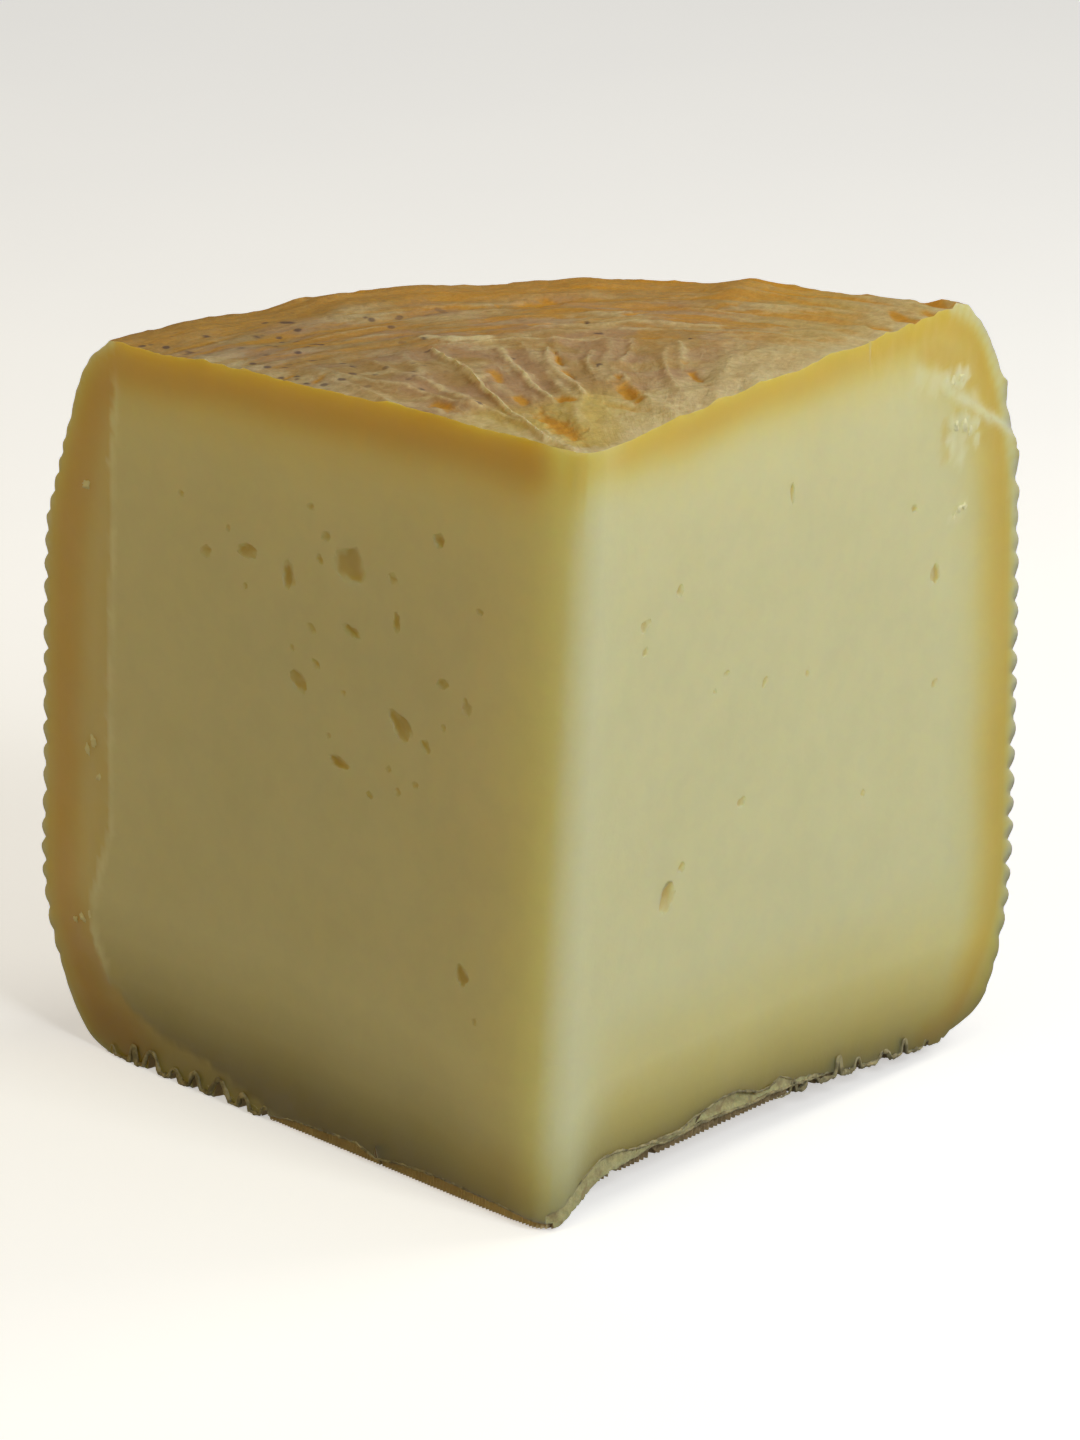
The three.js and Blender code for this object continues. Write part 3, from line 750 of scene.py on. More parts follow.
def rind_shares(wedge, x, y, top):
    """Shares of the rind's colours at a place on the upper rind."""
    left, right = (abs(wedge.read_cut(side, Vector((x, y, TOP_MIDDLE_HEIGHT)))[1]) for side in (LEFT, RIGHT))
    beside = min(left, right)
    patch = grain(x / 9, y / 6, 11.0)
    wide = 1 + 1.4 * smoothstep(x, 4, 14)
    fringe = 1 - smoothstep((beside + 0.8 * grain(x / 2.2, y / 2.2, 4.4) + 1.3 * patch) / wide, 0.5, 3.2)
    fringe *= 0.5 + 0.35 * smoothstep(x, -8, 4)
    tip = 1 - smoothstep(math.hypot(x - 4, y) + 5 * patch, 12, 30)
    straw = max(tip, 0.55 * smoothstep(x + 4 * patch, 8, 34))
    rose = smoothstep(patch - 0.4 * top["rim"], -0.35, 0.3) * (1 - tip)
    scattered = smoothstep(grain(x / 1.5, y / 1.0, 15.0), 0.42, 0.62)
    mouldy = smoothstep(-x + 6 * patch, 5, 26) * bump_between(y, 36, 70, 8)
    specks = 0.0
    for speck_x, speck_y in SPECKS:
        away = math.hypot(x - speck_x, 0.7 * (y - speck_y)) + 0.25 * grain(x / 0.5, y / 0.5, 3.0)
        specks = max(specks, 1 - smoothstep(away, 0.3 * SPECK_RADIUS, SPECK_RADIUS))
    corner = smoothstep(x, 30, 42)
    rear = smoothstep(math.hypot(x, y) + 3 * patch, 66, 74) * (1 - 0.8 * corner)
    brownish = max(0.3 * scattered * (1 - tip), 0.55 * rear)
    front = smoothstep(x, 2, 9) * (1 - smoothstep(right + 3 * patch, 8, 17)) * (1 - smoothstep(y, 40, 52))
    cream = max(top["cream"], fringe, 0.5 * smoothstep(grain(x / 6, y / 3, 31.0), 0.3, 0.6))
    cream = max(cream, 0.4 * smoothstep(x + 4 * patch, 6, 26) * (1 - smoothstep(y, 44, 60)))
    cream = max(cream, 0.6 * front, 0.5 * corner) * (1 - 0.75 * rear)
    return {
        "ochre": max(top["ochre"], brownish),
        "cream": cream * (1 - 0.9 * top["pitted"]),
        "straw": straw,
        "rose": rose,
        "speck": specks,
        "mouldy": 0.12 + 0.88 * mouldy,
        "back": top["back"] * (1 - 0.6 * corner),
    }


def wheel_blank(wedge):
    """The whole wheel, fine where the wedge is, as a bmesh with the rind's colour shares on its vertices."""
    section = wheel_section(wedge)
    bm = bmesh.new()
    row_layer = bm.verts.layers.int.new("row")
    share_layers = {name: bm.verts.layers.float.new(name) for name in SHARES}
    turn = Matrix.Rotation(FINE_HALF_TURN, 3, "Z")
    verts = []
    for row, (radius, height, *_) in enumerate(section):
        vert = bm.verts.new(turn @ Vector((0, radius, height)))
        vert[row_layer] = row
        verts.append(vert)
    edges = [bm.edges.new(pair) for pair in zip(verts, verts[1:])]
    spun = {"geom_last": verts + edges}
    fine, coarse = 2 * FINE_HALF_TURN, 2 * math.pi - 2 * FINE_HALF_TURN
    for angle, steps in ((fine, FINE_STEPS), (coarse, COARSE_STEPS)):
        spun = bmesh.ops.spin(
            bm, geom=spun["geom_last"], cent=(0, 0, 0), axis=(0, 0, -1), dvec=(0, 0, 0),
            angle=angle, steps=steps,
        )
    bmesh.ops.remove_doubles(bm, verts=bm.verts, dist=DOUBLES_WITHIN)
    bmesh.ops.recalc_face_normals(bm, faces=bm.faces)
    for vert in bm.verts:
        place, shares = wheel_place(wedge, section[vert[row_layer]], math.atan2(vert.co.x, vert.co.y))
        vert.co = place
        for name, layer in share_layers.items():
            vert[layer] = shares[name]
    return bm


def read_shares(bm):
    """The place of each of the wheel's vertices with its colour shares."""
    layers = {name: bm.verts.layers.float[name] for name in SHARES}
    return [(vert.co.copy(), {name: vert[layer] for name, layer in layers.items()}) for vert in bm.verts]


def wheel_place(wedge, row, angle):
    """Where a place of the half section comes at an angle round the wheel, and the rind's shares there."""
    radius, z, direction, part, ribs = row
    shares = dict.fromkeys(SHARES, 0.0)
    if part == "side":
        depth, hollow = side_relief(wedge, ribs, angle, z)
        lumps = sum(stand * math.exp(-(((z - place) / half) ** 2)) for place, half, stand in SIDE_LUMPS)
        uneven = 0.8 + 0.5 * grain(angle * 30, z, 3.0)
        depth -= lumps * smoothstep(angle, LUMPS_FROM, LUMPS_FROM + LUMPS_FADE) * uneven
        swell = along_curve(z, SIDE_SWELL[RIGHT if angle > 0 else LEFT])
        depth -= swell * smoothstep(abs(angle), *SWELL_ANGLES)
        radius -= depth * direction.y
        z += depth * direction.x
        patch = grain(angle * 7, z / 13, 2.2)
        shares["back"] = 0.7
        shares["ochre"] = 0.75 * smoothstep(hollow + 0.3 * patch, 0.25, 0.95)
        shares["cream"] = smoothstep(0.35 - hollow + 0.8 * grain(angle * 30, z / 2.5, 9.9), 0.35, 0.9) * 0.8
        shares["rose"] = smoothstep(patch, -0.3, 0.3)
        shares["mouldy"] = 0.5 * smoothstep(grain(angle * 9, z / 14, 5.5), -0.2, 0.4)
    x, y = WHEEL_MIDDLE_X + radius * math.sin(angle), radius * math.cos(angle)
    upper = smoothstep(row[1], TILT_START_HEIGHT, TOP_EDGE_HEIGHT)
    topmost = smoothstep(row[1], TOP_EDGE_HEIGHT - RELIEF_FADE, TOP_EDGE_HEIGHT)
    lower = 1 - smoothstep(row[1], 0, 2 * ARCH_HEIGHT)
    if topmost > 0:
        top = top_relief(wedge, x, y)
        z += topmost * top["height"]
        upper_shares = rind_shares(wedge, x, y, top)
        shares = {name: shares[name] + topmost * (upper_shares[name] - shares[name]) for name in SHARES}
    z += upper * TOP_TILT * x + lower * wedge.arch(x - WHEEL_LEAN_X / 2, y)
    return Vector((x + wheel_lean(z), y, z)), shares


def cut_relief(side, distance, z):
    """How far a cut stands out of its flat plane: the knife's slow waver and the fine unevenness."""
    slow = 0.28 * grain(distance / 30, z / 34, side * 7.0) * smoothstep(distance, 4, 20)
    middle = 0.09 * grain(distance / 7, z / 10, side * 3.0) * smoothstep(distance, 2, 8)
    fine = 0.03 * grain(distance / 1.7, z / 2.1, side * 5.0)
    return slow + middle + fine


def knife_block(wedge):
    """The block between the two cuts, with its tip edge rounded and leaning."""
    start = wedge.tip_rounding / math.tan(wedge.half_angle)
    count = round((CUT_END - start) / CUT_GRID)
    stations = KNIFE_REACH + [CUT_END + (start - CUT_END) * i / count for i in range(count + 1)]
    middle = Vector((0, wedge.tip_rounding / math.sin(wedge.half_angle), 0))
    turn = math.pi - 2 * wedge.half_angle
    plan = [wedge.along[LEFT] * distance for distance in stations]
    for i in range(1, TIP_ARC_STEPS):
        angle = turn * (i / TIP_ARC_STEPS - 0.5)
        plan.append(middle + wedge.tip_rounding * Vector((math.sin(angle), -math.cos(angle), 0)))
    plan += [wedge.along[RIGHT] * distance for distance in reversed(stations)]
    low = round(LOW_ROWS_END / LOW_ROW)
    high = round((CUT_END - LOW_ROWS_END) / CUT_GRID)
    rows = KNIFE_ROWS_BELOW + [LOW_ROWS_END * i / low for i in range(low)]
    rows += [LOW_ROWS_END + (CUT_END - LOW_ROWS_END) * i / high for i in range(high + 1)] + KNIFE_ROWS_ABOVE
    bm = bmesh.new()
    face = bm.faces.new([bm.verts.new(place) for place in plan])
    bmesh.ops.spin(
        bm, geom=[face, *face.edges, *face.verts], cent=(0, 0, 0), axis=(0, 0, 1), dvec=(0, 0, 1), angle=0,
        steps=len(rows) - 1,
    )
    for vert in bm.verts:
        z = rows[round(vert.co.z)]
        flat = Vector((vert.co.x, vert.co.y, 0))
        distance = flat.length
        side = RIGHT if flat.x > 0 else LEFT
        if distance < CUT_END + 1:
            outward = (flat - middle).normalized() if distance < 1.2 * start else wedge.out[side]
            flat += outward * cut_relief(side, distance, z)
        vert.co = flat + Vector((0, 0, z)) + wedge.lean(distance, z)
    bmesh.ops.recalc_face_normals(bm, faces=bm.faces)
    return bm


def relief_block(columns, rows, place_at):
    """A closed block whose near and far faces lie where place_at puts each share across and up."""
    bm = bmesh.new()
    bmesh.ops.create_grid(bm, x_segments=columns, y_segments=rows, size=0.5)
    raised = bmesh.ops.extrude_face_region(bm, geom=bm.faces[:])
    far = {item for item in raised["geom"] if isinstance(item, bmesh.types.BMVert)}
    for vert in bm.verts:
        vert.co = place_at(vert.co.x + 0.5, vert.co.y + 0.5, vert in far)
    bmesh.ops.recalc_face_normals(bm, faces=bm.faces)
    return bm


def slab(wedge, side, reach, heights, pitch, depth_at):
    """A block outside a cut whose inner face follows depth_at, to carve that cut with."""

    def place_at(across, up, far):
        distance, z = between(reach, across), between(heights, up)
        return wedge.on_cut(side, distance, z, SLAB_HEIGHT if far else depth_at(distance, z))

    columns = max(2, round((reach[1] - reach[0]) / pitch))
    return relief_block(columns, max(2, round((heights[1] - heights[0]) / pitch)), place_at)


def foot_block(wedge, side, heights, pitch, rows, ragged, depth_at):
    """A block outside the foot of a cut, as long and as high over the lower edge as the heights' curve."""
    reach = heights[0][0], heights[-1][0]

    def place_at(across, up, far):
        distance = between(reach, across)
        edge = wedge.lower_edge(side, distance)
        high = along_curve(distance, heights)
        fray = grain(distance / 0.9, side, 2.0) + grain(distance / 0.35, side, 4.0)
        high += ragged * min(1.0, high) * fray
        above = -FOOT_BELOW + up * (high + FOOT_BELOW)
        outward = SLAB_HEIGHT if far else depth_at(distance, above) - wedge.rounding(distance)
        return wedge.on_cut(side, distance, edge + above, outward)

    return relief_block(round((reach[1] - reach[0]) / pitch), rows, place_at)


def rib_band_cutter(wedge, side):
    """A block that cuts the ribbed band into the foot of a cut."""
    pitch = RIB_BAND_PITCH[side]

    def depth_at(distance, above):
        phase = 2 * math.pi * (distance / pitch + 0.5 * grain(distance / 4, above / 2, side))
        wave = math.cos(phase) * (0.75 + 0.4 * grain(distance / 1.3, above, 7.0))
        return -RIB_BAND_DEPTH + RIB_BAND_SWING * wave

    face = pitch / RIB_STEPS
    return foot_block(wedge, side, RIB_BAND[side], face, RIB_BAND_ROWS, RIB_BAND_RAGGED, depth_at)


def torn_band_cutter(wedge, side):
    """A block that tears the rind off over the foot of a cut."""

    def depth_at(distance, above):
        rough = 0.14 * grain(distance / 0.9, above / 0.8, 5.0)
        rough += 0.08 * grain(distance / 0.4, above / 0.4, 9.0)
        flap = bump_between(distance, *FLAP, 2.0) * smoothstep(above, 1.0, 2.0) if side == RIGHT else 0.0
        return -TORN_DEPTH + rough - FLAP_DEPTH * flap * (1 + 0.5 * grain(distance / 1.6, above / 1.2, 3.0))

    return foot_block(wedge, side, TORN_BAND[side], TORN_PITCH, TORN_ROWS, TORN_RAGGED, depth_at)


def tooth_cutter(wedge, side):
    """A block under the foot of a cut whose upper side has narrow teeth."""
    reach = TOOTH_REACH[side]
    pitch = RIB_BAND_PITCH[side]

    def place_at(across, inward, far):
        distance = between(reach, across)
        phase = 2 * math.pi * (distance / pitch + 0.5 * grain(distance / 4, 0.0, side))
        gap = smoothstep(math.cos(phase + math.pi), -0.2, 0.95)
        gap *= 0.8 + 0.8 * grain(distance / 1.1, side, 6.0)
        teeth = -TOOTH_UNDER + (TOOTH_UNDER + TOOTH_HEIGHT[side]) * gap * (1 - inward)
        above = -SLAB_HEIGHT if far else teeth
        outward = between(TOOTH_RUN, inward) - wedge.rounding(distance)
        return wedge.on_cut(side, distance, wedge.lower_edge(side, distance) + above, outward)

    return relief_block(round((reach[1] - reach[0]) / pitch * RIB_STEPS), TOOTH_ROWS, place_at)


def strip_distance(distance, z):
    """Signed distance from the strip's edge, positive on the strip."""
    here = Vector((distance, z, 0))
    best, sign = math.inf, 1.0
    for near, far in zip(STRIP_EDGE, STRIP_EDGE[1:]):
        start, end = Vector((*near, 0)), Vector((*far, 0))
        closest, share = geometry.intersect_point_line(here, start, end)
        closest = start.lerp(end, min(1.0, max(0.0, share)))
        away = (here - closest).length
        if away < best - 1e-6:
            best = away
            sign = 1.0 if (end - start).cross(here - start).z > 0 else -1.0
    return best * sign + 0.5 * grain(z / 1.7, distance / 2.5, 4.0) + 0.3 * grain(z / 0.8, distance, 9.0)


def strip_face(distance, z):
    """How far the strip beside the rind stands out of the left cut, which is less than nothing."""
    away = strip_distance(distance, z)
    rough = 0.07 * grain(distance / 1.6, z / 1.6, 3.0) + 0.05 * grain(distance / 0.7, z / 0.7, 6.0)
    low = 0.35 + 0.65 * smoothstep(z, 4, 14)
    return -STRIP_SLOPE * low * away + rough * (1 - smoothstep(away, 0, 5)) - STRIP_SUNK


def chip_height(distance, z):
    """How far a place lies above the lower line of the broken corner."""
    across = (CHIP_END - CHIP_START).normalized()
    here = Vector((distance, z)) - CHIP_START
    return across.x * here.y - across.y * here.x


def corner_ridge(distance, above):
    """Share of the ridge that crosses the broken corner, at a place above its lower line."""
    away = (above - CHIP_RIDGE_ABOVE - 0.4 * grain(distance / 2.2, above / 3, 6.0)) / CHIP_RIDGE_WIDTH
    return math.exp(-away * away) * bump_between(distance, *CHIP_RIDGE, 2.0)


def patch_share(patches, distance, z):
    """Largest share of soft round patches at a place on a cut."""
    share = 0.0
    for middle, high, radius, strength in patches:
        away = math.hypot(distance - middle, z - high) / radius
        if away < 2:
            ragged = 0.4 * grain(distance / 1.5, z / 0.8, middle)
            ragged += 0.2 * grain(distance / 0.7, z / 0.4, high)
            share = max(share, strength * (1 - smoothstep(away + ragged, 0.25, 1.25)))
    return share


def chip_face(distance, z):
    """How far the broken corner stands out of the right cut, which is mostly less than nothing."""
    above = chip_height(distance, z)
    rough = 0.22 * grain(distance / 4.5, z / 4.5, 9.0) + 0.12 * grain(distance / 1.5, z / 1.5, 2.0)
    raised = CHIP_RIDGE_HEIGHT * corner_ridge(distance, above)
    raised += PATCH_RELIEF * patch_share(PALE_PATCHES, distance, z)
    sunk = PATCH_RELIEF * patch_share(SUNK_POCKETS, distance, z)
    return -CHIP_SLOPE * above + rough + raised - sunk - CHIP_SUNK


def add_tube(bm, path_at, out, radius, steps, seed):
    """Adds a closed uneven tube whose middle follows path_at from 0 to 1."""
    for vert in bmesh.ops.create_uvsphere(bm, u_segments=LIP_SIDES, v_segments=steps, radius=1)["verts"]:
        share = math.acos(max(-1.0, min(1.0, vert.co.z))) / math.pi
        ahead, behind = path_at(min(1.0, share + LIP_NEARBY)), path_at(max(0.0, share - LIP_NEARBY))
        across = (ahead - behind).cross(out).normalized()
        angle = math.atan2(vert.co.y, vert.co.x)
        lump = 1 + 0.8 * grain(share * steps / 5, seed, angle) + 0.5 * grain(share * steps / 2.1, seed, 2.0)
        full = min(1.0, 2.2 * vert.co.to_2d().length) * radius * lump
        vert.co = path_at(share) + (across * math.cos(angle) + out * math.sin(angle)) * full


def add_blob(bm, matrix, size, seed, ragged, subdivisions):
    """Adds an uneven rounded lump to a bmesh, and gives back its vertices."""
    made = bmesh.ops.create_icosphere(bm, subdivisions=subdivisions, radius=1)["verts"]
    for vert in made:
        lump = 1 + ragged * noise.noise(vert.co * 1.3 + Vector((seed, 0, 0)))
        lump += 0.4 * ragged * noise.noise(vert.co * 3.1 + Vector((0, seed, 0)))
        vert.co = matrix @ Vector([part * reach * lump for part, reach in zip(vert.co, size)])
    return made


def eye_cutters(wedge):
    """Flat lumps at the eyes' places, whose middles stand a little out of the cuts."""
    bm = bmesh.new()
    for side, eyes in EYES.items():
        for i, (distance, z, width, height, slant) in enumerate(eyes):
            turn = Matrix.Rotation(math.radians(slant), 4, "Z")
            deep = min(EYE_DEEPEST, EYE_SHARE_DEEP * max(width, height) + EYE_LEAST_DEEP)
            raised = cut_relief(side, distance, z) + EYE_RAISED * deep
            place = wedge.cut_frame(side, distance, z) @ Matrix.Translation((0, 0, raised)) @ turn
            fine = LUMP_FINENESS + 1 if max(width, height) > LARGE_EYE else LUMP_FINENESS
            size = (EYE_REACH * width, EYE_REACH * height, (1 + EYE_RAISED) * deep)
            add_blob(bm, place, size, i * 3.7 + side, EYE_RAGGED, fine)
    return bm


def notch_place(wedge, side, notch):
    """A matrix from places in a notch's own size to the wedge's."""
    distance, _, _, slant = notch
    turn = Matrix.Rotation(math.radians(slant), 4, "Z")
    return wedge.cut_frame(side, distance, wedge.lower_edge(side, distance)) @ turn


def notch_shape(notch, across, up, depth):
    """A place in a notch's own millimetres, from shares of its half width and height."""
    _, width, height, _ = notch
    narrow = 1 - NOTCH_NARROWING * smoothstep(up, -0.2, 1)
    return Vector((across * narrow * width / 2, up * height, depth))


def lip_height(follows, side, distance):
    """Height over the lower edge of a lip that lies along a band or waves round the notches."""
    over = LIP_OVER[follows]
    if follows == "ribs":
        return along_curve(distance, RIB_BAND[side]) + over
    if follows == "tear":
        return along_curve(distance, TORN_BAND[side]) + over
    height = LIP_LEAST
    for place, width, high, slant in NOTCHES[side]:
        away = (distance - place - 0.4 * high * math.tan(math.radians(-slant)) * side) / (0.5 * width + over)
        if abs(away) < 1.6:
            height = max(height, (high + over) * math.exp(-(abs(away) ** 3)))
    return height


def lip_path(wedge, side, ends, follows, radius):
    """The middle line of a lip, as the place at a share of its length."""

    def path_at(share):
        distance = between(ends, share)
        above = lip_height(follows, side, distance) + 0.1 * grain(distance / 0.9, side, 8.0)
        sunk = -LIP_SUNK * radius - wedge.rounding(distance)
        return wedge.on_cut(side, distance, wedge.lower_edge(side, distance) + above, sunk)

    return path_at


def notch_cutters(wedge):
    """Lumps as deep as the notches, and the one of the slit."""
    bm = bmesh.new()
    for side, notches in NOTCHES.items():
        for i, notch in enumerate(notches):
            place = notch_place(wedge, side, notch)
            seed = i * 5.1 + side
            lump = add_blob(bm, Matrix.Identity(4), (1, 1, 1), seed, NOTCH_RAGGED, LUMP_FINENESS)
            for vert in lump:
                vert.co = place @ notch_shape(notch, vert.co.x, vert.co.y, vert.co.z * NOTCH_DEPTH)
    distance, above, length, width, slant = SLIT
    turn = Matrix.Rotation(math.radians(slant), 4, "Z")
    place = wedge.cut_frame(RIGHT, distance, wedge.lower_edge(RIGHT, distance) + above) @ turn
    add_blob(bm, place, (length / 2, width / 2, NOTCH_DEPTH), 2.5, SLIT_RAGGED, LUMP_FINENESS)
    return bm


def link_mesh(name, bm, materials, slot):
    """Makes an object of a bmesh, which is used up, with one of the materials all over it."""
    mesh = bpy.data.meshes.new(name)
    for face in bm.faces:
        face.material_index = slot
    bm.to_mesh(mesh)
    bm.free()
    for material in materials:
        mesh.materials.append(material)
    made = bpy.data.objects.new(name, mesh)
    bpy.context.scene.collection.objects.link(made)
    return made


def carve(piece, bm, operation, slot):
    """Cuts a piece with a closed bmesh, which is used up."""
    tool = link_mesh("tool", bm, piece.data.materials, slot)
    cut = piece.modifiers.new("cut", "BOOLEAN")
    cut.operation, cut.solver, cut.object = operation, "MANIFOLD", tool
    shown = piece.evaluated_get(bpy.context.evaluated_depsgraph_get())
    old, piece.data = piece.data, bpy.data.meshes.new_from_object(shown)
    piece.modifiers.clear()
    bpy.data.meshes.remove(old)
    bpy.data.objects.remove(tool)
    if not piece.data.polygons:
        raise RuntimeError(f"nothing is left of {piece.name} after {operation}")


def under_rind(place, side_tree):
    """How far a place lies under the upper rind, and how far inside the side."""
    wheel_x = place.x - wheel_lean(place.z)
    radius = math.hypot(wheel_x - WHEEL_MIDDLE_X, place.y)
    upper = smoothstep(place.z, TILT_START_HEIGHT, TOP_EDGE_HEIGHT)
    level = place.z - upper * TOP_TILT * wheel_x
    from_top = max(0.0, crown_height(radius / TOP_EDGE_RADIUS) - level)
    return from_top, side_tree.find((radius, level, 0))[2]


def corner_shares(distance, z, uneven):
    """Shares of amber and of whitish cheese on the broken corner of the right cut."""
    above = chip_height(distance, z)
    dried = smoothstep(above + 0.6 * uneven, -0.4, 3.2) * smoothstep(distance, CHIP_START.x, 70)
    amber = max(0.72 * dried, patch_share(AMBER_POCKETS, distance, z))
    return amber, max(patch_share(PALE_PATCHES, distance, z), 0.75 * corner_ridge(distance, above))


def cut_shares(wedge, place, side_tree):
    """Shares of the cheese's colours at a place on a cut."""
    sides = {side: wedge.read_cut(side, place) for side in (LEFT, RIGHT)}
    side = max(sides, key=lambda key: sides[key][1])
    distance = sides[side][0]
    from_top, from_side = under_rind(place, side_tree)
    from_under = max(0.0, place.z - wedge.lower_edge(side, distance))
    uneven = 0.8 * grain(distance / 13, place.z / 13, side * 2.0)
    top = along_curve(from_top + uneven, TOP_AMBER[side])
    outer = along_curve(from_side + uneven, OUTER_AMBER[side])
    near_tip = 1 - smoothstep(distance, 5, 26)
    lifted, pale = 0.0, 0.0
    if side == LEFT:
        # The brown and painted shade at the foot of the left cut is pushed down towards the tip
        lifted = NEARER_TIP_BROWN_SHADE_LIFT * (1 - smoothstep(distance, 10, 55)) + TIP_BROWN_SHADE_LIFT * near_tip
        foot = 0.22 * (1 - smoothstep(from_under, 3, 12)) * near_tip
        # Less amber near the tip: painted light, where light comes through the thin tip
        painted_tip_light = (0.25 + 0.4 * smoothstep(distance, 1, 5)) * (1 - smoothstep(distance, 4, 11))
    else:
        foot = 0.38 * (1 - smoothstep(from_under, 2, 26)) * smoothstep(distance, 3, 15)
        # Less amber near the tip here too: painted light
        painted_tip_light = 0.25 * (1 - smoothstep(distance, 1, 8))
    # Brown over the foot: partly the cheese's own colour, partly painted shade
    under = along_curve(from_under + lifted + 0.4 * uneven, UNDER_BROWN_AND_SHADE[side])
    if side == RIGHT and distance > CHIP_START.x:
        dried, pale = corner_shares(distance, place.z, uneven)
        outer = max(outer, dried)
    if side == LEFT:
        on_strip = strip_distance(distance, place.z)
        outer *= smoothstep(on_strip, -0.5, 0.5)
        broken = smoothstep(grain(place.z / 4, 3.0, distance / 3), -0.3, 0.35)
        # Pale line just off the strip's edge: a painted highlight where the step's edge catches the light
        pale = bump_between(on_strip, -0.8, -0.2, 0.6) * bump_between(place.z, 16, 82, 8)
        pale *= 0.2 + 0.5 * broken
        # On the strip the brown over the foot is halved, and its lower part gets brown as painted shade,
        # where the strip turns away from the light
        low = 1 - smoothstep(place.z, 7, 19)
        under *= 1 - 0.5 * smoothstep(on_strip, -0.4, 0.6)
        under = max(under, 0.3 * smoothstep(on_strip, -0.4, 0.6) * low)
    return {
        "amber": max(top * (1 - painted_tip_light), outer, foot),
        # brown: partly own colour, partly painted shade along the foot
        "brown": under,
        "outer": (1 - smoothstep(from_side, 0.3, 1.8)) * smoothstep(place.z, 10, 24),
        # pale: besides the pale places above, a painted highlight along the rounded tip edge
        "pale": max(pale, 0.15 * (1 - smoothstep(distance, 3.5, 9))),
        # lit: painted light on the ribbed rind of the left cut, which is in shade, strongest near the tip
        "lit": 0.6 + 0.4 * near_tip if side == LEFT else 0.0,
        # The eyes' darkening with depth: partly their own tint, partly painted shade in the hollows
        "tint": smoothstep(cut_relief(side, distance, place.z) - sides[side][1], 0.0, EYE_FULL_TINT_AND_SHADE_DEPTH),
    }


def paint_shares(wedge, piece, wheel_points):
    """Writes the colour shares as attributes of the piece's vertices, in millimetres still."""
    mesh = piece.data
    tree = kdtree.KDTree(len(wheel_points))
    for i, (place, _) in enumerate(wheel_points):
        tree.insert(place, i)
    tree.balance()
    profile = side_profile(wedge)[:: STEPS_PER_RIB // 2]
    side_tree = kdtree.KDTree(len(profile))
    for i, (place, _) in enumerate(profile):
        side_tree.insert((place.x, place.y, 0), i)
    side_tree.balance()
    values = {name: [] for name in SHARES + CUT_SHARES}
    for vert in mesh.vertices:
        shares = dict(wheel_points[tree.find(vert.co)[1]][1])
        shares.update(cut_shares(wedge, vert.co, side_tree))
        for name, value in shares.items():
            values[name].append(value)
    for name, numbers in values.items():
        if name in mesh.attributes:
            mesh.attributes.remove(mesh.attributes[name])
        mesh.attributes.new(name, "FLOAT", "POINT").data.foreach_set("value", numbers)


def many_cornered(bm):
    """Faces with more than four corners."""
    return [face for face in bm.faces if len(face.verts) > 4]


def split_faces(piece):
    """Cuts the many-cornered faces into triangles, of which no two pairs may share a new edge."""
    bm = bmesh.new()
    bm.from_mesh(piece.data)
    for _ in range(SPLIT_ROUNDS):
        trial = bm.copy()
        bmesh.ops.triangulate(trial, faces=many_cornered(trial))
        shared = [[vert.index for vert in edge.verts] for edge in trial.edges if not edge.is_manifold]
        trial.free()
        bm.verts.ensure_lookup_table()
        for start, end in [(bm.verts[first], bm.verts[second]) for first, second in shared]:
            for face in start.link_faces:
                joined = any(start in edge.verts and end in edge.verts for edge in face.edges)
                if len(face.verts) > 4 and end in face.verts and not joined:
                    bmesh.utils.face_split(face, start, end, coords=[(start.co + end.co) / 2])
                    break
        bm.verts.index_update()
    bmesh.ops.triangulate(bm, faces=many_cornered(bm))
    bm.to_mesh(piece.data)
    bm.free()


def finish_piece(piece, crisp_from):
    """Smooths a piece up to an edge's angle, moves it from millimetres at the tip to its place in the frame
    in metres, and gives it its body."""
    bm = bmesh.new()
    bm.from_mesh(piece.data)
    for face in bm.faces:
        face.smooth = True
    for edge in bm.edges:
        edge.smooth = edge.calc_face_angle(0) < crisp_from
    bmesh.ops.transform(bm, matrix=Matrix.Scale(MM, 4) @ Matrix.Translation(TIP), verts=bm.verts)
    bm.to_mesh(piece.data)
    bm.free()
    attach(piece, "root")


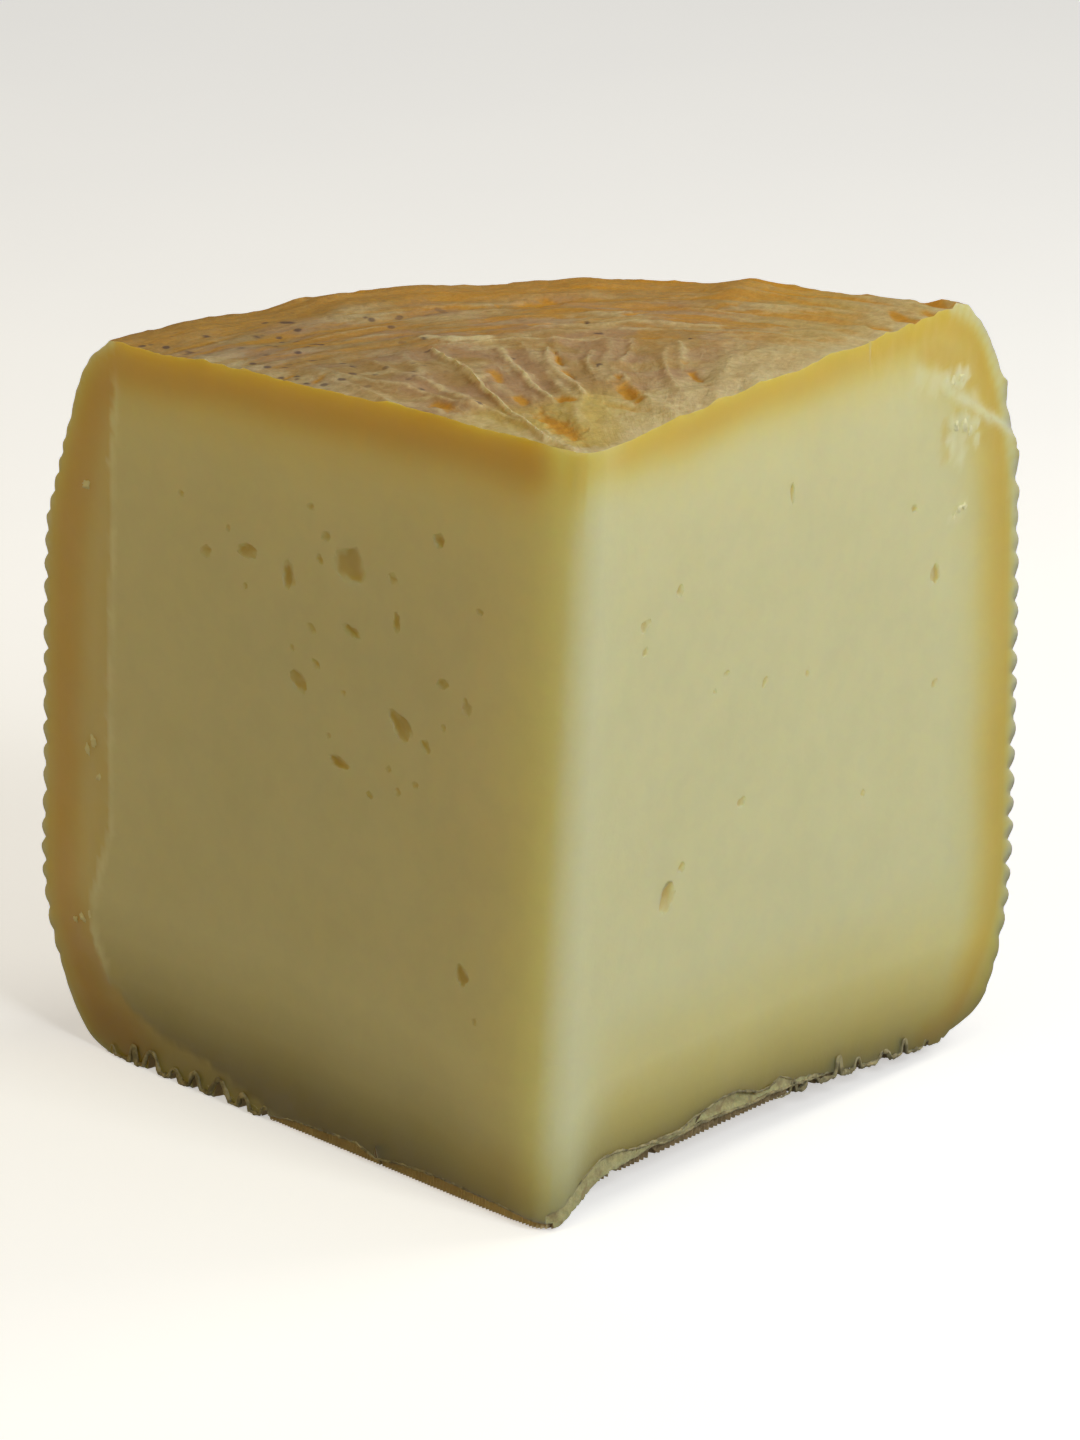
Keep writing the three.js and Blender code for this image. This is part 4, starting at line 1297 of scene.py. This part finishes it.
class Recipe:
    """One material and short ways to add its nodes. The shader's own numbers are given by name."""

    def __init__(self, name, **shader):
        self.material = bpy.data.materials.new(name)
        self.material.use_nodes = True
        self.nodes = self.material.node_tree.nodes
        self.links = self.material.node_tree.links
        self.shader = self.nodes["Principled BSDF"]
        for socket, value in shader.items():
            self.shader.inputs[socket.replace("_", " ")].default_value = value
        self.places = self.nodes.new("ShaderNodeTexCoord").outputs["Object"]

    def put(self, socket, value):
        """Links a value to a socket, or sets it there."""
        if isinstance(value, bpy.types.NodeSocket):
            self.links.new(value, socket)
        elif socket.type == "RGBA":
            socket.default_value = (*value, 1)
        else:
            socket.default_value = value

    def add(self, kind, inputs, **settings):
        """Adds a node with its settings. Its inputs are linked or set by their name or number."""
        node = self.nodes.new("ShaderNode" + kind)
        for setting, value in settings.items():
            setattr(node, setting, value)
        for socket, value in inputs.items():
            self.put(node.inputs[socket], value)
        return node

    def share(self, name):
        """An attribute of the piece."""
        return self.add("Attribute", {}, attribute_name=name).outputs["Fac"]

    def noise(self, size, detail=3.0, roughness=0.55, shift=0.0):
        """Noise with waves of a size in millimetres."""
        moved = self.add("Mapping", {"Vector": self.places, "Location": (shift, shift, shift)})
        inputs = {"Vector": moved.outputs["Vector"], "Scale": 1 / (size * MM)}
        inputs |= {"Detail": detail, "Roughness": roughness}
        return self.add("TexNoise", inputs).outputs["Fac"]

    def dots(self, spacing, full, gone):
        """Scattered dots, spacing millimetres apart, that fade out between two shares of the spacing."""
        inputs = {"Vector": self.places, "Scale": 1 / (spacing * MM), "Randomness": 1.0}
        cells = self.add("TexVoronoi", inputs)
        kept = self.spread(self.noise(2.5 * spacing, 1.0, shift=0.2), 0.47, 0.55)
        return self.calc("MULTIPLY", self.spread(cells.outputs["Distance"], full, gone, 0.85, 0.0), kept)

    def calc(self, operation, first, second):
        """A sum, a product or the like of two numbers."""
        return self.add("Math", {0: first, 1: second}, operation=operation).outputs[0]

    def spread(self, value, low, high, to_low=0.0, to_high=1.0):
        """Maps low..high to to_low..to_high, smoothly and clamped."""
        inputs = dict(enumerate((value, low, high, to_low, to_high)))
        return self.add("MapRange", inputs, interpolation_type="SMOOTHSTEP").outputs[0]

    def blend(self, share, first, second):
        """A number between two others."""
        return self.add("Mix", {0: share, 2: first, 3: second}).outputs[0]

    def mix(self, share, first, second, blend="MIX"):
        """A colour between two others, or one blended with another in a different way."""
        node = self.add("Mix", {0: share}, data_type="RGBA", blend_type=blend)
        colours = [socket for socket in node.inputs if socket.type == "RGBA"]
        self.put(colours[0], first)
        self.put(colours[1], second)
        return next(socket for socket in node.outputs if socket.type == "RGBA")

    def shade(self, pattern, low, high, dark, colour):
        """A colour that is darker by a factor where a pattern is low."""
        return self.mix(self.spread(pattern, low, high), [part * dark for part in colour], colour)

    def mottle(self, share, colour, pattern, low, high, dark, light):
        """A colour that a pattern makes darker and lighter, by a share of the two factors."""
        factor = self.mix(self.spread(pattern, low, high), (dark,) * 3, (light,) * 3)
        return self.mix(share, colour, factor, "MULTIPLY")

    def stain(self, share, colour, clean, stained):
        """Darkens a colour as a clean one is darkened to a stained one, more and more with the share."""
        ratio = [after / before for after, before in zip(stained, clean)]
        darker = self.add("Gamma", {"Color": ratio, "Gamma": share})
        return self.mix(1.0, colour, darker.outputs["Color"], "MULTIPLY")

    def streaks(self, middle, across, along, shift=0.0, round_it=True):
        """Noise drawn out round an upright line, or towards it, with waves of two sizes in millimetres.
        The way to the line goes on down the side, so that the rings do too."""
        from_line = {0: self.places, 1: (1, 1, 0), 2: (-middle.x * MM, -middle.y * MM, 0)}
        flat = self.add("VectorMath", from_line, operation="MULTIPLY_ADD").outputs["Vector"]
        reach = self.add("VectorMath", {0: flat}, operation="LENGTH").outputs["Value"]
        parts = self.add("SeparateXYZ", {0: flat})
        turned = self.calc("ARCTAN2", parts.outputs["X"], parts.outputs["Y"])
        height = self.add("SeparateXYZ", {0: self.places}).outputs["Z"]
        way = self.calc("SUBTRACT", reach, height)
        sizes = (across, along) if round_it else (along, across)
        inward = self.calc("MULTIPLY", way, 1 / (sizes[0] * MM))
        onward = self.calc("MULTIPLY", turned, STREAK_RADIUS / sizes[1])
        drawn = self.add("CombineXYZ", {"X": inward, "Y": onward, "Z": shift})
        inputs = {"Vector": drawn.outputs["Vector"], "Scale": 1.0, "Detail": 4.0}
        inputs |= {"Roughness": 0.6, "Distortion": 0.4}
        return self.add("TexNoise", inputs).outputs["Fac"]

    def bump(self, height, depth, before=None):
        """Relief of a depth in millimetres, over the relief before it."""
        inputs = {"Height": height, "Distance": depth * MM}
        if before is not None:
            inputs["Normal"] = before
        return self.add("Bump", inputs).outputs["Normal"]

    def finish(self, colour, roughness, normal):
        """Links the finished looks to the shader."""
        self.put(self.shader.inputs["Base Color"], colour)
        self.put(self.shader.inputs["Roughness"], roughness)
        self.put(self.shader.inputs["Normal"], normal)
        return self.material


def cheese_recipe(name, weight, glow, gloss=0.2, **shader):
    """A material that light goes into, as it does into the cheese and its rinds."""
    return Recipe(
        name, Subsurface_Weight=weight, Subsurface_Radius=glow, IOR=CHEESE_IOR, Specular_IOR_Level=gloss,
        **shader,
    )


def paste_colour(recipe, colours):
    """Colour of the cut cheese, stained amber and brown towards the rind. The brown is partly painted shade
    along the foot, and the pale share is partly a painted highlight at the tip edge and along the strip's
    edge.
    """
    broad = recipe.noise(14, 2.0)
    blotch = recipe.noise(3.2, 3.0, shift=0.3)
    edge = recipe.calc("MULTIPLY", recipe.calc("SUBTRACT", blotch, 0.5), 0.12)
    colour = recipe.shade(broad, 0.3, 0.7, 0.975, colours.paste)
    amber = recipe.calc("MAXIMUM", recipe.calc("ADD", recipe.share("amber"), edge), 0.0)
    colour = recipe.stain(amber, colour, colours.paste, colours.amber)
    # Brown over the foot: partly the cheese's own colour, partly painted shade
    colour = recipe.stain(recipe.share("brown"), colour, colours.paste, colours.brown)
    colour = recipe.mix(recipe.share("outer"), colour, colours.outer)
    # Pale: partly the cheese's own colour, partly a painted highlight at the tip edge and along the strip's
    # edge
    colour = recipe.mix(recipe.share("pale"), colour, colours.pale)
    return recipe.mottle(0.35, colour, blotch, 0.35, 0.65, 0.93, 1.0)


def paste_material(colours):
    """The cut cheese. Light goes deepest into its middle."""
    recipe = cheese_recipe("cut paste", 1.0, PASTE_GLOW, gloss=0.3)
    colour = paste_colour(recipe, colours)
    glow = recipe.spread(recipe.share("amber"), 0.0, 0.9, *PASTE_GLOW_REACH)
    recipe.put(recipe.shader.inputs["Subsurface Scale"], glow)
    rough = recipe.spread(recipe.noise(5, 2.0, shift=0.7), 0.3, 0.7, 0.46, 0.58)
    normal = recipe.bump(recipe.noise(2.6, 3.0, 0.6), 0.05)
    normal = recipe.bump(recipe.noise(0.45, 2.0, 0.6, shift=0.2), 0.012, normal)
    return recipe.finish(colour, rough, normal)


def eye_material(colours):
    """The walls of the eyes, which darken with their depth: partly their own tint, partly painted shade in
    the hollows.
    """
    recipe = cheese_recipe("eye wall", 1.0, PASTE_GLOW, Subsurface_Scale=0.012)
    # Darker with depth: partly the eye walls' own tint, partly painted shade
    colour = recipe.stain(recipe.share("tint"), paste_colour(recipe, colours), colours.paste, colours.eye)
    normal = recipe.bump(recipe.noise(0.7, 2.0, 0.6), 0.05)
    return recipe.finish(colour, recipe.spread(recipe.noise(1.5), 0.3, 0.7, 0.5, 0.6), normal)


def torn_material(colours):
    """The gritty rind that is torn at the foot of the cuts."""
    recipe = cheese_recipe("torn rind", 0.5, FOOT_GLOW, Subsurface_Scale=0.002)
    grit = recipe.noise(0.8, 4.0, 0.65)
    patch = recipe.noise(2.4, 3.0, 0.6, shift=0.6)
    colour = recipe.shade(grit, 0.35, 0.65, 0.8, colours.torn)
    colour = recipe.mix(recipe.spread(patch, 0.5, 0.68, 0.0, 0.75), colour, colours.ribbed)
    return recipe.finish(colour, 0.8, recipe.bump(grit, 0.2))


def ribbed_material(colours):
    """The darker ribbed rind at the foot of the cuts, and the walls of the notches. On the left cut, which
    is in shade, it is mixed towards a lighter copy as painted light, most near the tip.
    """
    recipe = cheese_recipe("ribbed rind", 0.2, FOOT_GLOW, Subsurface_Scale=0.002)
    grit = recipe.noise(0.7, 4.0, 0.65)
    colour = recipe.shade(grit, 0.35, 0.65, 0.6, colours.ribbed)
    # Painted light: the ribbed rind of the shaded left cut is mixed towards its lighter copy
    colour = recipe.mix(recipe.share("lit"), colour, colours.ribbed_painted_lit)
    return recipe.finish(colour, 0.75, recipe.bump(grit, 0.12))


def lip_material(colours):
    """The pale edges of the folded lower rind."""
    recipe = cheese_recipe("rind lip", 0.5, LIP_GLOW, Subsurface_Scale=0.0004)
    grit = recipe.noise(1.4, 3.0, 0.6)
    colour = recipe.shade(grit, 0.38, 0.62, 0.5, colours.lip)
    return recipe.finish(colour, 0.7, recipe.bump(recipe.noise(0.4, 2.0), 0.06))


def crumb_material(colours):
    """The crumbs, which are too small for light to go into."""
    recipe = Recipe("crumbs", IOR=CHEESE_IOR, Specular_IOR_Level=0.2)
    grit = recipe.noise(0.9, 3.0, 0.6)
    colour = recipe.shade(grit, 0.35, 0.65, 0.92, colours.crumb)
    return recipe.finish(colour, 0.65, recipe.bump(recipe.noise(0.4, 2.0), 0.05))


def rind_material(colours):
    """The upper rind and the side, with their streaks, folds, hollows and mould."""
    recipe = cheese_recipe("rind", 0.25, RIND_GLOW, Subsurface_Scale=0.002)
    rings = recipe.streaks(TIP.to_2d() + RINGS_MEET, 2.7, 15.0)
    folds = recipe.streaks(TIP.to_2d() + FOLDS_MEET, 2.6, 9.0, 3.0, False)
    drawn = recipe.blend(recipe.share("back"), folds, rings)
    crumbled = recipe.noise(1.1, 5.0, 0.62)
    broken = recipe.calc("SUBTRACT", recipe.blend(0.5, crumbled, drawn), 0.5)
    soft = recipe.calc("SUBTRACT", recipe.noise(4.5, 3.0, 0.55, shift=0.4), 0.5)

    def ragged(name, amount):
        """A colour's share with its edges broken up."""
        grown = recipe.calc("ADD", recipe.share(name), recipe.calc("MULTIPLY", broken, amount))
        return recipe.spread(grown, 0.08, 0.95)

    colour = recipe.shade(soft, -0.2, 0.2, 0.9, colours.tan)
    colour = recipe.mix(ragged("rose", 0.8), colour, colours.rose)
    colour = recipe.mix(ragged("straw", 0.8), colour, colours.straw)
    low = recipe.calc("MULTIPLY", recipe.spread(drawn, 0.38, 0.56, 0.75, 0.0), recipe.share("back"))
    colour = recipe.mix(recipe.calc("MAXIMUM", ragged("ochre", 1.2), low), colour, colours.ochre)
    high = recipe.spread(recipe.calc("ADD", drawn, recipe.calc("MULTIPLY", soft, 0.5)), 0.5, 0.72, 0.0, 0.4)
    high = recipe.calc("MULTIPLY", high, recipe.calc("SUBTRACT", 1.0, recipe.share("ochre")))
    colour = recipe.mix(recipe.calc("MAXIMUM", ragged("cream", 1.1), high), colour, colours.cream)
    dots = recipe.calc("MULTIPLY", recipe.dots(MOULD_SPACING, 0.14, 0.3), recipe.share("mouldy"))
    specks = recipe.calc("MAXIMUM", recipe.calc("MULTIPLY", ragged("speck", 0.6), 0.85), dots)
    colour = recipe.mix(specks, colour, colours.speck)
    colour = recipe.mix(recipe.share("mouldy"), colour, MOULDY_TINT, "MULTIPLY")
    fine = recipe.noise(0.42, 3.0, 0.7, shift=0.9)
    colour = recipe.mottle(0.4, colour, crumbled, 0.3, 0.7, 0.82, 1.16)
    colour = recipe.mottle(0.3, colour, fine, 0.3, 0.7, 0.84, 1.16)
    normal = recipe.bump(drawn, 0.3)
    normal = recipe.bump(crumbled, 0.13, normal)
    normal = recipe.bump(fine, 0.06, normal)
    rough = recipe.spread(recipe.noise(2.0, shift=0.5), 0.3, 0.7, 0.6, 0.8)
    return recipe.finish(colour, rough, normal)


def floor_material():
    """The plain pale floor, a little lit by itself."""
    recipe = Recipe(
        "pale floor", IOR=1.45, Specular_IOR_Level=0.2, Emission_Color=(1.0, 1.0, 1.0, 1.0),
        Emission_Strength=FLOOR_GLOW,
    )
    faint = recipe.noise(60, 2.0)
    colour = recipe.mix(recipe.spread(faint, 0.3, 0.7), *FLOOR_SHADES)
    return recipe.finish(colour, 0.8, recipe.bump(recipe.noise(1.0, 2.0), 0.01))


class CHEESE_OT_wedge(bpy.types.Operator):
    """Cuts the wedge out of the wheel and carves its eyes, notches and broken corner"""

    bl_idname = "cheese.wedge"
    bl_label = "Cheese wedge"

    def execute(self, context):
        wedge = Wedge(context.scene.pecorino_sizes)
        colours = context.scene.pecorino_colours
        materials = [
            rind_material(colours), paste_material(colours), eye_material(colours), torn_material(colours),
            ribbed_material(colours),
        ]
        wheel = wheel_blank(wedge)
        wheel_points = read_shares(wheel)
        piece = link_mesh("cut_wedge", wheel, materials, RIND)
        carve(piece, knife_block(wedge), "INTERSECT", PASTE)
        carve(piece, slab(wedge, LEFT, *STRIP_BLOCK, strip_face), "DIFFERENCE", PASTE)
        carve(piece, slab(wedge, RIGHT, *CHIP_BLOCK, chip_face), "DIFFERENCE", PASTE)
        carve(piece, eye_cutters(wedge), "DIFFERENCE", EYE)
        for side in (LEFT, RIGHT):
            carve(piece, torn_band_cutter(wedge, side), "DIFFERENCE", TORN)
            carve(piece, rib_band_cutter(wedge, side), "DIFFERENCE", RIBBED)
            carve(piece, tooth_cutter(wedge, side), "DIFFERENCE", RIBBED)
        carve(piece, notch_cutters(wedge), "DIFFERENCE", RIBBED)
        split_faces(piece)
        paint_shares(wedge, piece, wheel_points)
        finish_piece(piece, CRISP_ON_WEDGE)
        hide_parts("pecorino_wedge")
        return {"FINISHED"}


class CHEESE_OT_lips(bpy.types.Operator):
    """Lays the pale lips of the lower rind round the notches and along the ribbed bands"""

    bl_idname = "cheese.lips"
    bl_label = "Rind lips"

    def execute(self, context):
        wedge = Wedge(context.scene.pecorino_sizes)
        bm = bmesh.new()
        for side, ends, follows, radius in LIPS:
            path_at = lip_path(wedge, side, ends, follows, radius)
            steps = round((ends[1] - ends[0]) * LIP_STEPS)
            add_tube(bm, path_at, wedge.out[side], radius, steps, ends[0] + side)
        piece = link_mesh("rind_lips", bm, [lip_material(context.scene.pecorino_colours)], 0)
        finish_piece(piece, CRISP_ON_TRIM)
        return {"FINISHED"}


class CHEESE_OT_crumbs(bpy.types.Operator):
    """Adds the crumbs that stick to the cuts"""

    bl_idname = "cheese.crumbs"
    bl_label = "Crumbs"

    def execute(self, context):
        wedge = Wedge(context.scene.pecorino_sizes)
        bm = bmesh.new()
        for i, (side, distance, z, size) in enumerate(CRUMBS):
            sunk = strip_face(distance, z) if side == LEFT else chip_face(distance, z)
            place = wedge.cut_frame(side, distance, z) @ Matrix.Translation((0, 0, min(0.0, sunk)))
            turn = Matrix.Rotation(i * 2.4, 4, "Z")
            reach = [share * size for share in CRUMB_SHAPE]
            add_blob(bm, place @ turn, reach, i * 2.3, CRUMB_RAGGED, LUMP_FINENESS)
        piece = link_mesh("crumbs", bm, [crumb_material(context.scene.pecorino_colours)], 0)
        finish_piece(piece, CRISP_ON_TRIM)
        return {"FINISHED"}


def aim(name, data, target, azimuth, elevation, distance):
    """Puts a light or camera round a target and faces it: azimuth 0 is in front, 90 degrees at the right."""
    flat = math.cos(elevation)
    back = Vector((math.sin(azimuth) * flat, -math.cos(azimuth) * flat, math.sin(elevation)))
    made = bpy.data.objects.new(name, data)
    made.location = target + back * distance
    made.rotation_mode = "QUATERNION"
    made.rotation_quaternion = back.to_track_quat("Z", "Y")
    bpy.context.scene.collection.objects.link(made)
    return made


def pale_room(surround):
    """A pale world that lights the wedge a little and is the plain background."""
    world = bpy.data.worlds.new("pale room")
    world.use_nodes = True
    tree = world.node_tree
    sky = tree.nodes["Background"]
    sky.inputs["Color"].default_value = ROOM_LIGHT
    sky.inputs["Strength"].default_value = surround
    seen = tree.nodes.new("ShaderNodeBackground")
    seen.inputs["Color"].default_value = ROOM_SEEN
    either = tree.nodes.new("ShaderNodeMixShader")
    tree.links.new(tree.nodes.new("ShaderNodeLightPath").outputs["Is Camera Ray"], either.inputs[0])
    tree.links.new(sky.outputs[0], either.inputs[1])
    tree.links.new(seen.outputs[0], either.inputs[2])
    tree.links.new(either.outputs[0], tree.nodes["World Output"].inputs["Surface"])
    return world


class CHEESE_OT_studio(bpy.types.Operator):
    """Lays the pale floor and sets the lights and the camera"""

    bl_idname = "cheese.studio"
    bl_label = "Studio"

    def execute(self, context):
        scene, settings = context.scene, context.scene.studio_settings
        bm = bmesh.new()
        bmesh.ops.create_grid(bm, x_segments=4, y_segments=4, size=FLOOR_HALF_WIDTH)
        floor = link_mesh("floor", bm, [floor_material()], 0)
        floor.visible_diffuse = False
        for name, power, azimuth, elevation, distance, size, colour in LIGHTS:
            light = bpy.data.lights.new(name, "AREA")
            light.size, light.energy, light.color = size, getattr(settings, power), colour
            aim(name, light, LIGHTS_FACE, math.radians(azimuth), math.radians(elevation), distance)
        scene.world = pale_room(settings.surround)
        scene.view_settings.view_transform = "Standard"
        camera = bpy.data.cameras.new("camera")
        camera.lens, camera.sensor_width = VIEW_LENS, SENSOR_WIDTH
        camera.sensor_fit = "AUTO"
        scene.camera = aim("camera", camera, VIEW_TARGET, VIEW_AZIMUTH, VIEW_ELEVATION, VIEW_DISTANCE)
        return {"FINISHED"}


class CHEESE_PT_panel(bpy.types.Panel):
    """Lists what the wedge and its studio are made of"""

    bl_label = "Pecorino"
    bl_idname = "CHEESE_PT_panel"
    bl_space_type = "VIEW_3D"
    bl_region_type = "UI"
    bl_category = "Pecorino"

    def draw(self, context):
        for group in ("pecorino_sizes", "pecorino_colours", "studio_settings"):
            settings = getattr(context.scene, group)
            column = self.layout.column(align=True)
            for name in type(settings).__annotations__:
                column.prop(settings, name)
        for step in STEPS:
            self.layout.operator(step.bl_idname)


STEPS = (CHEESE_OT_wedge, CHEESE_OT_lips, CHEESE_OT_crumbs, CHEESE_OT_studio)
CLASSES = (PecorinoSizes, PecorinoColours, StudioSettings, *STEPS, CHEESE_PT_panel)


def register():
    for cls in CLASSES:
        bpy.utils.register_class(cls)
    bpy.types.Scene.pecorino_sizes = bpy.props.PointerProperty(type=PecorinoSizes)
    bpy.types.Scene.pecorino_colours = bpy.props.PointerProperty(type=PecorinoColours)
    bpy.types.Scene.studio_settings = bpy.props.PointerProperty(type=StudioSettings)


def unregister():
    del bpy.types.Scene.pecorino_sizes
    del bpy.types.Scene.pecorino_colours
    del bpy.types.Scene.studio_settings
    for cls in reversed(CLASSES):
        bpy.utils.unregister_class(cls)


def main():
    register()
    bpy.ops.cheese.wedge()
    bpy.ops.cheese.lips()
    bpy.ops.cheese.crumbs()
    bpy.ops.cheese.studio()


if __name__ == "__main__":
    main()
